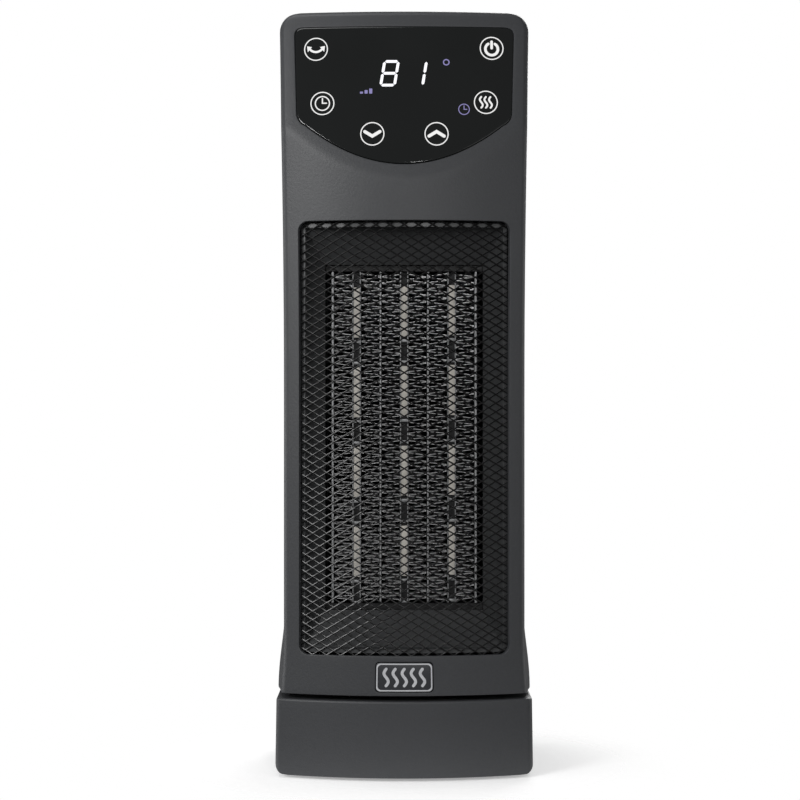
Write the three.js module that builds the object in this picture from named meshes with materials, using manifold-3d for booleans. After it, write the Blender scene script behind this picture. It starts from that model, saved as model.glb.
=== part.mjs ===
// Digital oscillating ceramic tower heater, as an assembly of separate pieces.
// Millimetres. +Z is up, the front faces -Y, and the origin is the middle of the footprint on the floor.

import * as THREE from "three";
import { mergeVertices } from "three/addons/utils/BufferGeometryUtils.js";
import Module from "manifold-3d";

const wasm = await Module();
wasm.setup();

// ---------------------------------------------------------------- Driving dimensions

// Overall
const HEIGHT = 400; // floor to the top of the head
const DEPTH = 124; // front face to rear face, on the centre line
const HALF_WIDTH = 62.7; // housing, at its waist
const WALL = 2.5; // thickness of the moulded shells
const GAP = 0.3; // clearance between fitted pieces

// Base
const FOOT_DROP = 1.6; // how far the feet stand below the base shell
const FOOT_RADIUS = 8;
const FOOT_THICKNESS = 3;
const BASE_TOP = 41; // height of the base's top face
const BASE_HALF_WIDTH = 66.6; // at the top face
const BASE_SPREAD = 0.6; // how much wider the base is at its bottom
const BASE_LIP = 1.5; // how far the base stands in front of the housing
const BASE_EDGE = 5; // rounding of the base's bottom edge
const BASE_PLATE = 3; // thickness of the bottom cover
const SEAM = 2.6; // open gap between the base and the housing

// Housing form
const FRONT_RADIUS = 159; // convex front, in plan
const HEAD_RADIUS = 372; // convex head face, in plan
const HEAD_TILT = THREE.MathUtils.degToRad(13);
const HEAD_RISE = 90; // top of the head above the lowest point of its crease
const HEAD_WALL = 4.2; // front wall of the head, which carries the panel's ledge
const FRONT_EDGE = 4.5; // rounding of the front vertical edges
const REAR_EDGE = 17; // rounding of the rear vertical edges
const TOP_CORNER = 10.5; // rounding of the top corners, seen from the front
const REAR_SLOPE = 22; // how far the rear leans in by the top
const REAR_SLOPE_RISE = 95; // height over which the rear leans in
const SLOPE_MIDDLE = 0.72; // share of that height where the lean turns into the top
const SPLIT_Y = -22; // plane where the front and rear shells meet
const BOTTOM_FLARE = 1.5; // front shell, widening to its bottom edge
const BOTTOM_FLARE_RISE = 32;
const HEAD_FLARE = 3.1; // widening towards the top
const HEAD_FLARE_RISE = 200;
const REAR_FLARE = 4.2; // rear shell, widening to its bottom edge
const REAR_FLARE_RISE = 50;

// Air outlet
const SILL = 20.6; // housing's bottom edge up to the grille window
const LINTEL = 21.5; // grille window up to the crease
const STILE = 8.2; // grille window to the housing's side
const WINDOW_CORNER = 5;
const GRILLE_LAP = 3; // how far the grille reaches behind the window's edge
const GRILLE_THICKNESS = 1.2;
const GRILLE_STRAND = 2.4;
const GRILLE_CELLS_ACROSS = 3;
const GRILLE_CELLS_UP = 7;
const DUCT_WALL = 2;
const DUCT_FLARE_SIDE = 10; // how far the funnel narrows at each side
const DUCT_FLARE_END = 18.5; // and at its top and bottom
const DUCT_MARGIN = 3; // funnel's mouth inside the window
const DUCT_THROAT = 24; // funnel's throat behind the front face
const DUCT_LENGTH = 26; // straight part that holds the core

// Heater core
const CORE_SIDE_SPACE = 3.3; // core to the duct's side wall
const BRACKET = 2.9; // channel at each end of the core
const CORE_DEPTH = 16;
const CORE_SETBACK = 4; // core behind the funnel's throat
const SIDE_PLATE = 1;
const DIVIDER_PLATE = 0.8;
const PTC_WIDTH = 4.4;
const FIN_SHEET = 0.8;
const FIN_PITCH = 22;
const CUTOUT_SIZE = 9; // thermal cut-out
const EAR_HALF = 2; // its mounting ears: half width
const EAR_SHEET = 1.2; // and their thickness

// Blower
const WHEEL_RADIUS = 25;
const WHEEL_Y = 19; // centre line of the wheel
const WHEEL_DISC = 1.6;
const WHEEL_DISCS = 3;
const WHEEL_BLADES = 12;
const BLADE_THICKNESS = 1;
const BLADE_CHORD = 8;
const SHAFT_RADIUS = 3;
const SCROLL_WALL = 2;
const SCROLL_CLEARANCE = 4; // wheel to the tightest part of the scroll
const SCROLL_GROWTH = 9; // how much the scroll opens along its turn
const SCROLL_END = 2.5; // thickness of its end plates
const MOTOR_RADIUS = 21;
const MOTOR_HEIGHT = 26;
const BEARING_RADIUS = 6;

// Control head
const PANEL_TOP = 8; // panel's top edge below the head's top
const PANEL_SIDE = 8.4; // panel's side edge to the head's side
const PANEL_TAPER = 1.5; // how much narrower it is at its lower corners
const PANEL_SHOULDER = 55; // height of its lower corners below the head's top
const PANEL_BELLY = 28; // depth of its curved lower edge
const PANEL_CORNER = 4.5;
const PANEL_THICKNESS = 1.6;
const PANEL_SINK = 0.4; // panel's face below the head's face
const PANEL_LEDGE = 4; // width of the ledge it is glued to
const BOARD = 1.6; // thickness of the circuit boards
const BOARD_DEPTH = 9; // display board behind the head's face
const DISPLAY_WIDTH = 42;
const DISPLAY_HEIGHT = 20;
const POWER_BOARD_Y = 8;
const POWER_BOARD_RISE = 60;
const RELAY = 15;

// Rear
const INTAKE_MARGIN = 21; // intake window to the housing's side
const INTAKE_LOW = 36; // its bottom edge above the housing's bottom edge
const INTAKE_HIGH = 20; // its top edge below the crease
const INTAKE_CORNER = 6;
const COVER_THICKNESS = 3;
const COVER_RIM = 4;
const COVER_SPINE = 1.5; // half width of the rib down its middle
const LOUVRE = 5; // height of a louvre, and of the slot over it
const FILTER_THICKNESS = 1;
const HANDLE_HALF_WIDTH = 38;
const HANDLE_HEIGHT = 24;
const HANDLE_DEPTH = 22;
const HANDLE_DROP = 34; // pocket's top edge below the head's top
const ROCKER_SPACE = 1.7; // switch case to the screw well beside it
const ROCKER_RISE = 17; // its centre above the housing's bottom edge
const ROCKER_HALF_WIDTH = 7;
const ROCKER_HALF_HEIGHT = 5;
const ROCKER_DEPTH = 4;
const SWITCH_CASE_WALL = 1;
const ROCKER_STANDOUT = 0.9;
const SWITCH_CASE_DEPTH = 20;

// Turntable and oscillation drive
const TABLE = 3; // thickness of the turntable plate
const HUB_RADIUS = 16;
const HUB_WALL = 3.5;
const HUB_DROP = 19.5; // hub's lower end below the turntable
const THRUST_CLEAR = 8; // thrust ring's bore outside the hub
const THRUST_WIDTH = 10;
const TOOTH_MODULE = 1.5;
const GEAR_RIM = 5; // gear's pitch circle outside the hub
const PINION_TEETH = 10;
const TOOTH_PLAY = 0.26;
const GEAR_THICKNESS = 6;
const GEAR_DROP = 7.5; // gear's top face below the turntable
const RETAINER_RIM = 4;
const RETAINER_HEIGHT = 3;
const DRIVE_MOTOR_RADIUS = 21;
const DRIVE_MOTOR_HEIGHT = 14;
const DRIVE_SHAFT_RADIUS = 2.5;

// Tip-over switch, cord gland, badge and screws
const TIP_X = -30;
const TIP_Y = 28;
const PLUNGER_RADIUS = 3;
const PLUNGER_LENGTH = 13;
const TIP_SPRING_WIRE = 0.8;
const TIP_SPRING_TURNS = 4;
const TIP_SPRING_HEIGHT = 6;
const TIP_SWITCH_WIDTH = 16;
const TIP_SWITCH_DEPTH = 8;
const TIP_SWITCH_HEIGHT = 9;
const GLAND_X = -30;
const GLAND_RISE = 19;
const GLAND_RADIUS = 6;
const GLAND_FLANGE = 1.2;
const GLAND_BORE = 3.6;
const BADGE_WIDTH = 29;
const BADGE_HEIGHT = 15;
const BADGE_SINK = 0.5;
const BADGE_PROUD = 0.4;
const SCREW_RADIUS = 1.5;
const SCREW_HEAD_RADIUS = 2.8;
const SCREW_HEAD_HEIGHT = 2;
const SCREW_LENGTH = 12;
const WELL_BACK = 4; // split line to the end of a screw post
const POST_RADIUS = 4.5;
const SCREW_INSET_X = 16.5; // shell screws to the housing's side
const SCREW_EDGE = 10.5; // shell screws to the window
const BASE_SCREW_X = 46;
const BASE_SCREW_Y = 24;
const FOOT_X = 45;
const FOOT_Y = 40;

// ---------------------------------------------------------------- Places that follow from them

const FRONT_Y = -DEPTH / 2;
const REAR_Y = DEPTH / 2;
const HOUSING_BOTTOM = BASE_TOP + SEAM;
const CREASE_Z = HEIGHT - HEAD_RISE;
const WINDOW_LOW = HOUSING_BOTTOM + SILL;
const WINDOW_HIGH = CREASE_Z - LINTEL;
const WINDOW_HALF = HALF_WIDTH - STILE;
const WINDOW_Z = (WINDOW_LOW + WINDOW_HIGH) / 2;
const WINDOW_RISE = (WINDOW_HIGH - WINDOW_LOW) / 2;
const TOP_HALF_WIDTH = HALF_WIDTH + HEAD_FLARE;
const BASE_BOTTOM = FOOT_DROP;
const GRILLE_BACK = WALL + GAP + GRILLE_THICKNESS;
const THROAT_Y = FRONT_Y + DUCT_THROAT;
const DUCT_BACK_Y = THROAT_Y + DUCT_LENGTH;
const THROAT_HALF = WINDOW_HALF - DUCT_MARGIN - DUCT_FLARE_SIDE;
const THROAT_RISE = WINDOW_RISE - DUCT_MARGIN - DUCT_FLARE_END;
const CORE_HALF = THROAT_HALF - CORE_SIDE_SPACE;
const CORE_RISE = THROAT_RISE - BRACKET - 2 * GAP;
const CORE_FRONT_Y = THROAT_Y + CORE_SETBACK;
const CORE_BACK_Y = CORE_FRONT_Y + CORE_DEPTH;
const SCROLL_FRONT_Y = DUCT_BACK_Y + GAP;
const SCROLL_TOP = WINDOW_Z + THROAT_RISE + DUCT_WALL;
const SCROLL_BOTTOM = WINDOW_Z - THROAT_RISE - DUCT_WALL;
const WHEEL_TOP = SCROLL_TOP - SCROLL_END - 2;
const WHEEL_BOTTOM = SCROLL_BOTTOM + SCROLL_END + 2;
const GEAR_TOP = HOUSING_BOTTOM - GEAR_DROP;
const HUB_BOTTOM = HOUSING_BOTTOM - HUB_DROP;
const GEAR_TEETH = Math.ceil((2 * (HUB_RADIUS + GEAR_RIM)) / TOOTH_MODULE);
const DRIVE_X = (TOOTH_MODULE * (GEAR_TEETH + PINION_TEETH)) / 2 + TOOTH_PLAY / 2;
const SCREW_X = HALF_WIDTH - SCREW_INSET_X;
const ROCKER_X = SCREW_X - POST_RADIUS - ROCKER_SPACE - SWITCH_CASE_WALL - ROCKER_HALF_WIDTH;
const PLATE_TOP = BASE_BOTTOM + GAP + BASE_PLATE;

const frontHalfWidth = (z) => {
  const low = THREE.MathUtils.clamp(1 - (z - HOUSING_BOTTOM) / BOTTOM_FLARE_RISE, 0, 1);
  const high = THREE.MathUtils.clamp(1 - (HEIGHT - z) / HEAD_FLARE_RISE, 0, 1);
  return HALF_WIDTH + BOTTOM_FLARE * low * low + HEAD_FLARE * high * high;
};
const rearHalfWidth = (z) => {
  const low = THREE.MathUtils.smoothstep(HOUSING_BOTTOM + REAR_FLARE_RISE - z, 0, REAR_FLARE_RISE);
  const high = THREE.MathUtils.clamp(1 - (HEIGHT - z) / HEAD_FLARE_RISE, 0, 1);
  return HALF_WIDTH + REAR_FLARE * low + HEAD_FLARE * high * high;
};
const baseHalfWidth = (z) => BASE_HALF_WIDTH + (BASE_SPREAD * (BASE_TOP - z)) / (BASE_TOP - BASE_BOTTOM);

// ---------------------------------------------------------------- Solids

// A closed geometry as a solid that can be cut and joined.
function solid(geometry) {
  const plain = geometry.clone();
  plain.deleteAttribute("normal");
  plain.deleteAttribute("uv");
  const merged = mergeVertices(plain, 1e-4);
  const vertProperties = new Float32Array(merged.attributes.position.array);
  const triVerts = new Uint32Array(merged.index.array);
  return new wasm.Manifold(new wasm.Mesh({ numProp: 3, vertProperties, triVerts }));
}

// A solid back as a geometry.
function geometryOf(body) {
  const mesh = body.getMesh();
  const geometry = new THREE.BufferGeometry();
  geometry.setAttribute("position", new THREE.BufferAttribute(mesh.vertProperties, 3));
  geometry.setIndex(new THREE.BufferAttribute(mesh.triVerts, 1));
  geometry.computeVertexNormals();
  return geometry;
}

const join = (...bodies) => bodies.reduce((whole, body) => whole.add(body));
const cut = (body, ...tools) => tools.reduce((rest, tool) => rest.subtract(tool), body);

function block(x0, x1, y0, y1, z0, z1) {
  const geometry = new THREE.BoxGeometry(x1 - x0, y1 - y0, z1 - z0);
  return solid(geometry.translate((x0 + x1) / 2, (y0 + y1) / 2, (z0 + z1) / 2));
}

function rodZ(radius, x, y, z0, z1, sides = 16) {
  const geometry = new THREE.CylinderGeometry(radius, radius, z1 - z0, sides);
  return solid(geometry.rotateX(Math.PI / 2).translate(x, y, (z0 + z1) / 2));
}

function rodY(radius, x, z, y0, y1, sides = 16) {
  const geometry = new THREE.CylinderGeometry(radius, radius, y1 - y0, sides);
  return solid(geometry.translate(x, (y0 + y1) / 2, z));
}

// An outline in plan, extruded upwards.
function prismZ(outline, z0, z1, curveSegments = 5) {
  const options = { depth: z1 - z0, bevelEnabled: false, curveSegments };
  return solid(new THREE.ExtrudeGeometry(outline, options).translate(0, 0, z0));
}

// An outline seen from the front, extruded from y0 back to y1.
function prismY(outline, y0, y1, curveSegments = 4) {
  const options = { depth: y1 - y0, bevelEnabled: false, curveSegments };
  const geometry = new THREE.ExtrudeGeometry(outline, options).rotateX(Math.PI / 2);
  return solid(geometry.translate(0, y1, 0));
}

// An outline in the side view, with Y across and Z up, extruded from x0 to x1.
function prismX(outline, x0, x1, curveSegments = 8) {
  const options = { depth: x1 - x0, bevelEnabled: false, curveSegments };
  const geometry = new THREE.ExtrudeGeometry(outline, options);
  const across = new THREE.Vector3(0, 1, 0);
  const up = new THREE.Vector3(0, 0, 1);
  const along = new THREE.Vector3(1, 0, 0);
  geometry.applyMatrix4(new THREE.Matrix4().makeBasis(across, up, along));
  return solid(geometry.translate(x0, 0, 0));
}

// An outline extruded through a list of stations, with each point moved by place(x, y, station).
function loft(outline, stations, place, curveSegments = 5) {
  const steps = stations.length - 1;
  const options = { depth: steps, steps, bevelEnabled: false, curveSegments };
  const geometry = new THREE.ExtrudeGeometry(outline, options);
  const points = geometry.attributes.position;
  for (let i = 0; i < points.count; i += 1) {
    const station = stations[Math.round(points.getZ(i))];
    const [x, y] = place(points.getX(i), points.getY(i), station);
    points.setXYZ(i, x, y, station);
  }
  return geometry;
}

function polygon(points) {
  return new THREE.Shape(points.map(([x, y]) => new THREE.Vector2(x, y)));
}

function roundedRect(x0, x1, z0, z1, radius) {
  const outline = new THREE.Shape();
  outline.moveTo(x0 + radius, z0);
  outline.lineTo(x1 - radius, z0);
  outline.absarc(x1 - radius, z0 + radius, radius, -Math.PI / 2, 0);
  outline.lineTo(x1, z1 - radius);
  outline.absarc(x1 - radius, z1 - radius, radius, 0, Math.PI / 2);
  outline.lineTo(x0 + radius, z1);
  outline.absarc(x0 + radius, z1 - radius, radius, Math.PI / 2, Math.PI);
  outline.lineTo(x0, z0 + radius);
  outline.absarc(x0 + radius, z0 + radius, radius, Math.PI, 1.5 * Math.PI);
  return outline;
}

// ---------------------------------------------------------------- The housing's form

const FAR = 150; // past the outside of everything in plan
const ARC_CHORDS = 8; // straight chords along each convex face
const BEND_CHORDS = 3; // and round each edge
const sag = (x, radius) => (x * x) / (2 * radius);

// Points along a convex face from left to right, with its middle at y.
function arc(half, y, radius) {
  const across = Array.from({ length: ARC_CHORDS + 1 }, (_, i) => half * ((2 * i) / ARC_CHORDS - 1));
  return across.map((x) => [x, y + sag(x, radius)]);
}

// Points of a rounded edge from one tangent point to the other, bent towards its corner.
function bend(from, corner, to) {
  const ends = [from, corner, to].map(([x, y]) => new THREE.Vector2(x, y));
  const curve = new THREE.QuadraticBezierCurve(...ends);
  return curve.getPoints(BEND_CHORDS).map(({ x, y }) => [x, y]);
}

const mirrored = (points) => points.map(([x, y]) => [-x, y]).reverse();

// Plan of the housing or base: convex front, straight sides and a rounded rear, set in from the outside.
function planOutline(half, frontY, rearY, inset) {
  const side = half - inset;
  const edge = FRONT_EDGE - Math.min(inset, FRONT_EDGE / 2);
  const rearEdge = REAR_EDGE - inset;
  const front = frontY + inset;
  const rear = rearY - inset;
  const flat = side - edge;
  const face = arc(flat, front, FRONT_RADIUS);
  const frontCorner = [side, front + sag(side, FRONT_RADIUS)];
  const frontBend = bend(face.at(-1), frontCorner, [side, front + sag(flat, FRONT_RADIUS) + edge]);
  const rearBend = bend([side, rear - rearEdge], [side, rear], [side - rearEdge, rear]);
  const right = [...frontBend.slice(1), ...rearBend];
  return polygon([...face, ...right, ...mirrored(right)]);
}

// Heights at which the housing's plan is drawn: close together where its sides curve.
function stationsFor(low, high) {
  const curved = Array.from({ length: 4 }, (_, i) => HOUSING_BOTTOM + (i * REAR_FLARE_RISE) / 3);
  const rise = HEIGHT - HOUSING_BOTTOM - REAR_FLARE_RISE;
  const upper = Array.from({ length: 4 }, (_, i) => HEIGHT - rise + ((i + 1) * rise) / 4);
  const inside = [...curved, ...upper].filter((z) => z > low + 1 && z < high - 1);
  return [low, ...inside, high];
}

// Turns a geometry drawn flat, with Y as depth behind the head's face and Z up along it, onto the head.
function ontoHead(geometry) {
  return geometry.rotateX(-HEAD_TILT).translate(0, FRONT_Y, CREASE_Z);
}

// Everything behind the head's convex, leaning face, set in from it.
function behindHead(inset) {
  const half = TOP_HALF_WIDTH - FRONT_EDGE;
  const out = TOP_HALF_WIDTH + 1;
  const right = [
    [out, inset + sag(half, HEAD_RADIUS) + FRONT_EDGE + 1],
    [out, 3 * FAR],
  ];
  const outline = polygon([...arc(half, inset, HEAD_RADIUS), ...right, ...mirrored(right)]);
  const options = { depth: 2 * HEIGHT, bevelEnabled: false };
  const geometry = new THREE.ExtrudeGeometry(outline, options);
  return solid(ontoHead(geometry.translate(0, 0, -HEIGHT * 1.5)));
}

// Front view limit: straight sides past the housing, with rounded top corners.
function underTopCorners(inset) {
  const side = TOP_HALF_WIDTH + 0.2 - inset;
  const top = HEIGHT - inset;
  const radius = TOP_CORNER - Math.min(inset, TOP_CORNER / 2);
  const outline = new THREE.Shape();
  outline.moveTo(-side - FAR, -HEIGHT);
  outline.lineTo(side + FAR, -HEIGHT);
  outline.lineTo(side + FAR, top - TOP_CORNER - FAR);
  outline.lineTo(side, top - radius);
  outline.quadraticCurveTo(side, top, side - radius, top);
  outline.lineTo(radius - side, top);
  outline.quadraticCurveTo(-side, top, -side, top - radius);
  outline.lineTo(-side - FAR, top - TOP_CORNER - FAR);
  outline.lineTo(-side - FAR, -HEIGHT);
  return prismY(outline, -FAR, FAR);
}

// Side view limit: the rear leans in and rounds over into the top.
function underRearSlope(inset) {
  const top = HEIGHT - inset;
  const rear = REAR_Y - inset;
  const start = HEIGHT - REAR_SLOPE_RISE;
  const outline = new THREE.Shape();
  outline.moveTo(-FAR, -HEIGHT);
  outline.lineTo(FAR, -HEIGHT);
  outline.lineTo(FAR, start);
  outline.lineTo(rear, start);
  const slopeMiddle = start + SLOPE_MIDDLE * REAR_SLOPE_RISE;
  outline.quadraticCurveTo(rear, start + REAR_SLOPE_RISE / 2, rear - REAR_SLOPE / 2, slopeMiddle);
  outline.quadraticCurveTo(rear - REAR_SLOPE, top, rear - 2 * REAR_SLOPE, top);
  outline.lineTo(-FAR, top);
  outline.lineTo(-FAR, -HEIGHT);
  return prismX(outline, -FAR, FAR, 4);
}

// The housing's outer form, or its inner one when it is set in by the walls.
function housingForm(halfWidthAt, inset, headInset, low) {
  const outline = planOutline(HALF_WIDTH, FRONT_Y, REAR_Y, inset);
  const widen = (x, y, z) => [x + (x * (halfWidthAt(z) - HALF_WIDTH)) / (HALF_WIDTH - inset), y];
  const body = solid(loft(outline, stationsFor(low, HEIGHT + 5), widen));
  const limits = [behindHead(headInset), underTopCorners(inset), underRearSlope(inset)];
  return limits.reduce((rest, limit) => rest.intersect(limit), body);
}

// A layer of the convex front between two depths behind its face.
function frontLayer(near, far, half, z0, z1) {
  const face = arc(half, FRONT_Y + near, FRONT_RADIUS);
  const back = arc(half, FRONT_Y + far, FRONT_RADIUS).reverse();
  return prismZ(polygon([...face, ...back]), z0, z1);
}

// A layer of the head between two depths behind its face.
function headLayer(near, far) {
  return cut(behindHead(near), behindHead(far));
}

// ---------------------------------------------------------------- Screws

// A pan-head screw along +Z with its head's outer face at the origin.
function screw() {
  const head = rodZ(SCREW_HEAD_RADIUS, 0, 0, 0, SCREW_HEAD_HEIGHT, 10);
  const shank = rodZ(SCREW_RADIUS, 0, 0, SCREW_HEAD_HEIGHT - 0.5, SCREW_LENGTH, 6);
  return geometryOf(join(head, shank));
}

const shellScrewPlaces = [-1, 1].flatMap((side) =>
  [WINDOW_LOW - SCREW_EDGE, WINDOW_HIGH + SCREW_EDGE].map((z) => [side * SCREW_X, z]),
);
const baseScrewPlaces = [-1, 1].flatMap((side) => [
  [side * BASE_SCREW_X, -BASE_SCREW_Y],
  [side * BASE_SCREW_X, BASE_SCREW_Y],
]);
const footPlaces = [-1, 1].flatMap((end) => [-1, 1].map((side) => [side * FOOT_X, end * FOOT_Y]));
const SCREW_SEAT_Y = SPLIT_Y + 8; // floor of the wells that the shell screws stand in

// ---------------------------------------------------------------- Base

function baseShell() {
  const frontY = FRONT_Y - BASE_LIP;
  const spread = (inset) => (x, y, z) => [(x * (baseHalfWidth(z) - inset)) / (BASE_HALF_WIDTH - inset), y];
  const plan = (inset) => planOutline(BASE_HALF_WIDTH, frontY, REAR_Y, inset);
  const outer = solid(loft(plan(0), [BASE_BOTTOM, BASE_TOP], spread(0)));
  const inner = solid(
    loft(plan(WALL), [BASE_BOTTOM - 1, BASE_TOP - WALL], spread(WALL)),
  );
  const postTop = BASE_TOP - WALL / 2;
  const posts = baseScrewPlaces.map(([x, y]) => rodZ(POST_RADIUS, x, y, PLATE_TOP + GAP, postTop, 12));
  const boreTop = SCREW_LENGTH + PLATE_TOP;
  const bores = baseScrewPlaces.map(([x, y]) => rodZ(SCREW_RADIUS + GAP, x, y, 0, boreTop, 8));
  const hubHole = rodZ(HUB_RADIUS + GAP, 0, 0, BASE_TOP - 2 * WALL, BASE_TOP + 1, 24);
  const glandHole = rodY(GLAND_RADIUS + GAP, GLAND_X, GLAND_RISE, REAR_Y - 3 * WALL, REAR_Y + 1);
  const roundedBottom = bottomEdge();
  return cut(join(cut(outer, inner), ...posts).intersect(roundedBottom), ...bores, hubHole, glandHole);
}

// Front view limit that rounds the base's two lower corners.
function bottomEdge() {
  const side = BASE_HALF_WIDTH + BASE_SPREAD + 0.2;
  const edge = Math.min(BASE_EDGE, BASE_TOP / 2);
  const radius = edge / 2;
  const outline = new THREE.Shape();
  outline.moveTo(-side + radius, BASE_BOTTOM);
  outline.lineTo(side - radius, BASE_BOTTOM);
  outline.quadraticCurveTo(side, BASE_BOTTOM, side, BASE_BOTTOM + edge);
  outline.lineTo(side, BASE_TOP + 1);
  outline.lineTo(-side, BASE_TOP + 1);
  outline.lineTo(-side, BASE_BOTTOM + edge);
  outline.quadraticCurveTo(-side, BASE_BOTTOM, -side + radius, BASE_BOTTOM);
  return prismY(outline, -FAR, FAR, 4);
}

function basePlate() {
  const outline = planOutline(BASE_HALF_WIDTH, FRONT_Y - BASE_LIP, REAR_Y, WALL + GAP + 0.4);
  const plate = prismZ(outline, BASE_BOTTOM + GAP, PLATE_TOP);
  const bores = baseScrewPlaces.map(([x, y]) => rodZ(SCREW_RADIUS + GAP, x, y, 0, 2 * PLATE_TOP, 8));
  const sinks = baseScrewPlaces.map(([x, y]) => rodZ(SCREW_HEAD_RADIUS + GAP, x, y, 0, PLATE_TOP - 0.8, 12));
  const pockets = footPlaces.map(([x, y]) => rodZ(FOOT_RADIUS + GAP, x, y, 0, FOOT_THICKNESS + GAP));
  const plungerHole = rodZ(PLUNGER_RADIUS + GAP, TIP_X, TIP_Y, 0, 2 * PLATE_TOP, 16);
  return cut(plate, ...bores, ...sinks, ...pockets, plungerHole);
}

function ring(outer, inner, z0, z1, sides = 24) {
  return cut(rodZ(outer, 0, 0, z0, z1, sides), rodZ(inner, 0, 0, z0 - 1, z1 + 1, sides));
}

// Spur gear outline: straight-flanked teeth about the pitch circle.
function gearOutline(teeth) {
  const pitch = (TOOTH_MODULE * teeth) / 2;
  const addendum = 0.8 * TOOTH_MODULE;
  const dedendum = 1.15 * TOOTH_MODULE;
  const flank = Math.tan(THREE.MathUtils.degToRad(21));
  const half = (Math.PI * TOOTH_MODULE) / 4 - TOOTH_PLAY / 2;
  const tip = pitch + addendum;
  const root = pitch - dedendum;
  const tipAngle = (half - addendum * flank) / tip;
  const rootAngle = Math.min((half + dedendum * flank) / root, Math.PI / teeth - 0.1 / root);
  const corners = [
    [root, -rootAngle],
    [tip, -tipAngle],
    [tip, tipAngle],
    [root, rootAngle],
  ];
  const at = (tooth) => corners.map(([radius, angle]) => [radius, angle + (2 * Math.PI * tooth) / teeth]);
  const points = Array.from({ length: teeth }, (_, tooth) => at(tooth)).flat();
  return polygon(points.map(([radius, angle]) => [radius * Math.cos(angle), radius * Math.sin(angle)]));
}

function oscillationGear() {
  const blank = prismZ(gearOutline(GEAR_TEETH), GEAR_TOP - GEAR_THICKNESS, GEAR_TOP);
  return cut(blank, rodZ(HUB_RADIUS + GAP, 0, 0, 0, BASE_TOP, 24));
}

// The pinion turns on its own axis, so it is drawn about the origin and placed on its shaft.
function drivePinion() {
  const blank = prismZ(gearOutline(PINION_TEETH), GEAR_TOP - GEAR_THICKNESS, GEAR_TOP);
  const turned = solid(geometryOf(blank).rotateZ(Math.PI / PINION_TEETH));
  return cut(turned, rodZ(DRIVE_SHAFT_RADIUS + GAP, 0, 0, 0, BASE_TOP, 16));
}

function oscillationMotor() {
  const low = PLATE_TOP + GAP;
  const can = rodZ(DRIVE_MOTOR_RADIUS, DRIVE_X, 0, low, low + DRIVE_MOTOR_HEIGHT, 32);
  const shaft = rodZ(DRIVE_SHAFT_RADIUS, DRIVE_X, 0, low + DRIVE_MOTOR_HEIGHT - 1, GEAR_TOP - GAP, 16);
  return join(can, shaft);
}

function tipPlunger() {
  const pin = rodZ(PLUNGER_RADIUS, TIP_X, TIP_Y, 0, PLUNGER_LENGTH, 16);
  const collar = rodZ(PLUNGER_RADIUS + 1.6, TIP_X, TIP_Y, PLATE_TOP + GAP + 4.5, PLATE_TOP + GAP + 6, 16);
  return join(pin, collar);
}

// A wire coil between the plunger's collar and the switch above it.
function tipSpring(low) {
  class Helix extends THREE.Curve {
    getPoint(t, target = new THREE.Vector3()) {
      const angle = 2 * Math.PI * TIP_SPRING_TURNS * t;
      const radius = PLUNGER_RADIUS + TIP_SPRING_WIRE;
      return target.set(
        TIP_X + radius * Math.cos(angle),
        TIP_Y + radius * Math.sin(angle),
        low + TIP_SPRING_WIRE / 2 + t * (TIP_SPRING_HEIGHT - TIP_SPRING_WIRE),
      );
    }
  }
  const section = polygon(
    Array.from({ length: 4 }, (_, i) => {
      const angle = (Math.PI * i) / 2;
      return [(TIP_SPRING_WIRE / 2) * Math.cos(angle), (TIP_SPRING_WIRE / 2) * Math.sin(angle)];
    }),
  );
  return new THREE.ExtrudeGeometry(section, { steps: TIP_SPRING_TURNS * 8, extrudePath: new Helix() });
}

function tipSwitch(low) {
  return block(
    TIP_X - TIP_SWITCH_WIDTH / 2,
    TIP_X + TIP_SWITCH_WIDTH / 2,
    TIP_Y - TIP_SWITCH_DEPTH / 2,
    TIP_Y + TIP_SWITCH_DEPTH / 2,
    low,
    low + TIP_SWITCH_HEIGHT,
  );
}

function cordGland() {
  const sleeve = rodY(GLAND_RADIUS, GLAND_X, GLAND_RISE, REAR_Y - WALL - 3, REAR_Y + GAP + GLAND_FLANGE);
  const flange = rodY(GLAND_RADIUS + 2.5, GLAND_X, GLAND_RISE, REAR_Y + GAP, REAR_Y + GAP + GLAND_FLANGE);
  const bore = rodY(GLAND_BORE, GLAND_X, GLAND_RISE, REAR_Y - 20, REAR_Y + 20, 16);
  return cut(join(sleeve, flange), bore);
}

// ---------------------------------------------------------------- Housing shells

function windowOutline(spread = 0) {
  const radius = WINDOW_CORNER + spread;
  const half = WINDOW_HALF + spread;
  return roundedRect(-half, half, WINDOW_LOW - spread, WINDOW_HIGH + spread, radius);
}

// Shield shape of the touch panel, in the head's own plane, set in from its edge.
function panelOutline(inset) {
  const lean = Math.cos(HEAD_TILT);
  const top = (HEAD_RISE - PANEL_TOP) / lean - inset;
  const shoulder = (HEAD_RISE - PANEL_SHOULDER) / lean;
  const bottom = shoulder - PANEL_BELLY + inset;
  const upper = TOP_HALF_WIDTH - PANEL_SIDE - inset;
  const lower = upper - PANEL_TAPER;
  const corner = PANEL_CORNER;
  const outline = new THREE.Shape();
  outline.moveTo(-lower, shoulder);
  outline.quadraticCurveTo(-lower + 1, shoulder - corner, -lower + corner, shoulder - corner - 1.5);
  outline.quadraticCurveTo(0, 2 * bottom - shoulder + corner + 1.5, lower - corner, shoulder - corner - 1.5);
  outline.quadraticCurveTo(lower - 1, shoulder - corner, lower, shoulder);
  outline.lineTo(upper, top - corner);
  outline.quadraticCurveTo(upper, top, upper - corner, top);
  outline.lineTo(corner - upper, top);
  outline.quadraticCurveTo(-upper, top, -upper, top - corner);
  outline.lineTo(-lower, shoulder);
  return outline;
}

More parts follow.
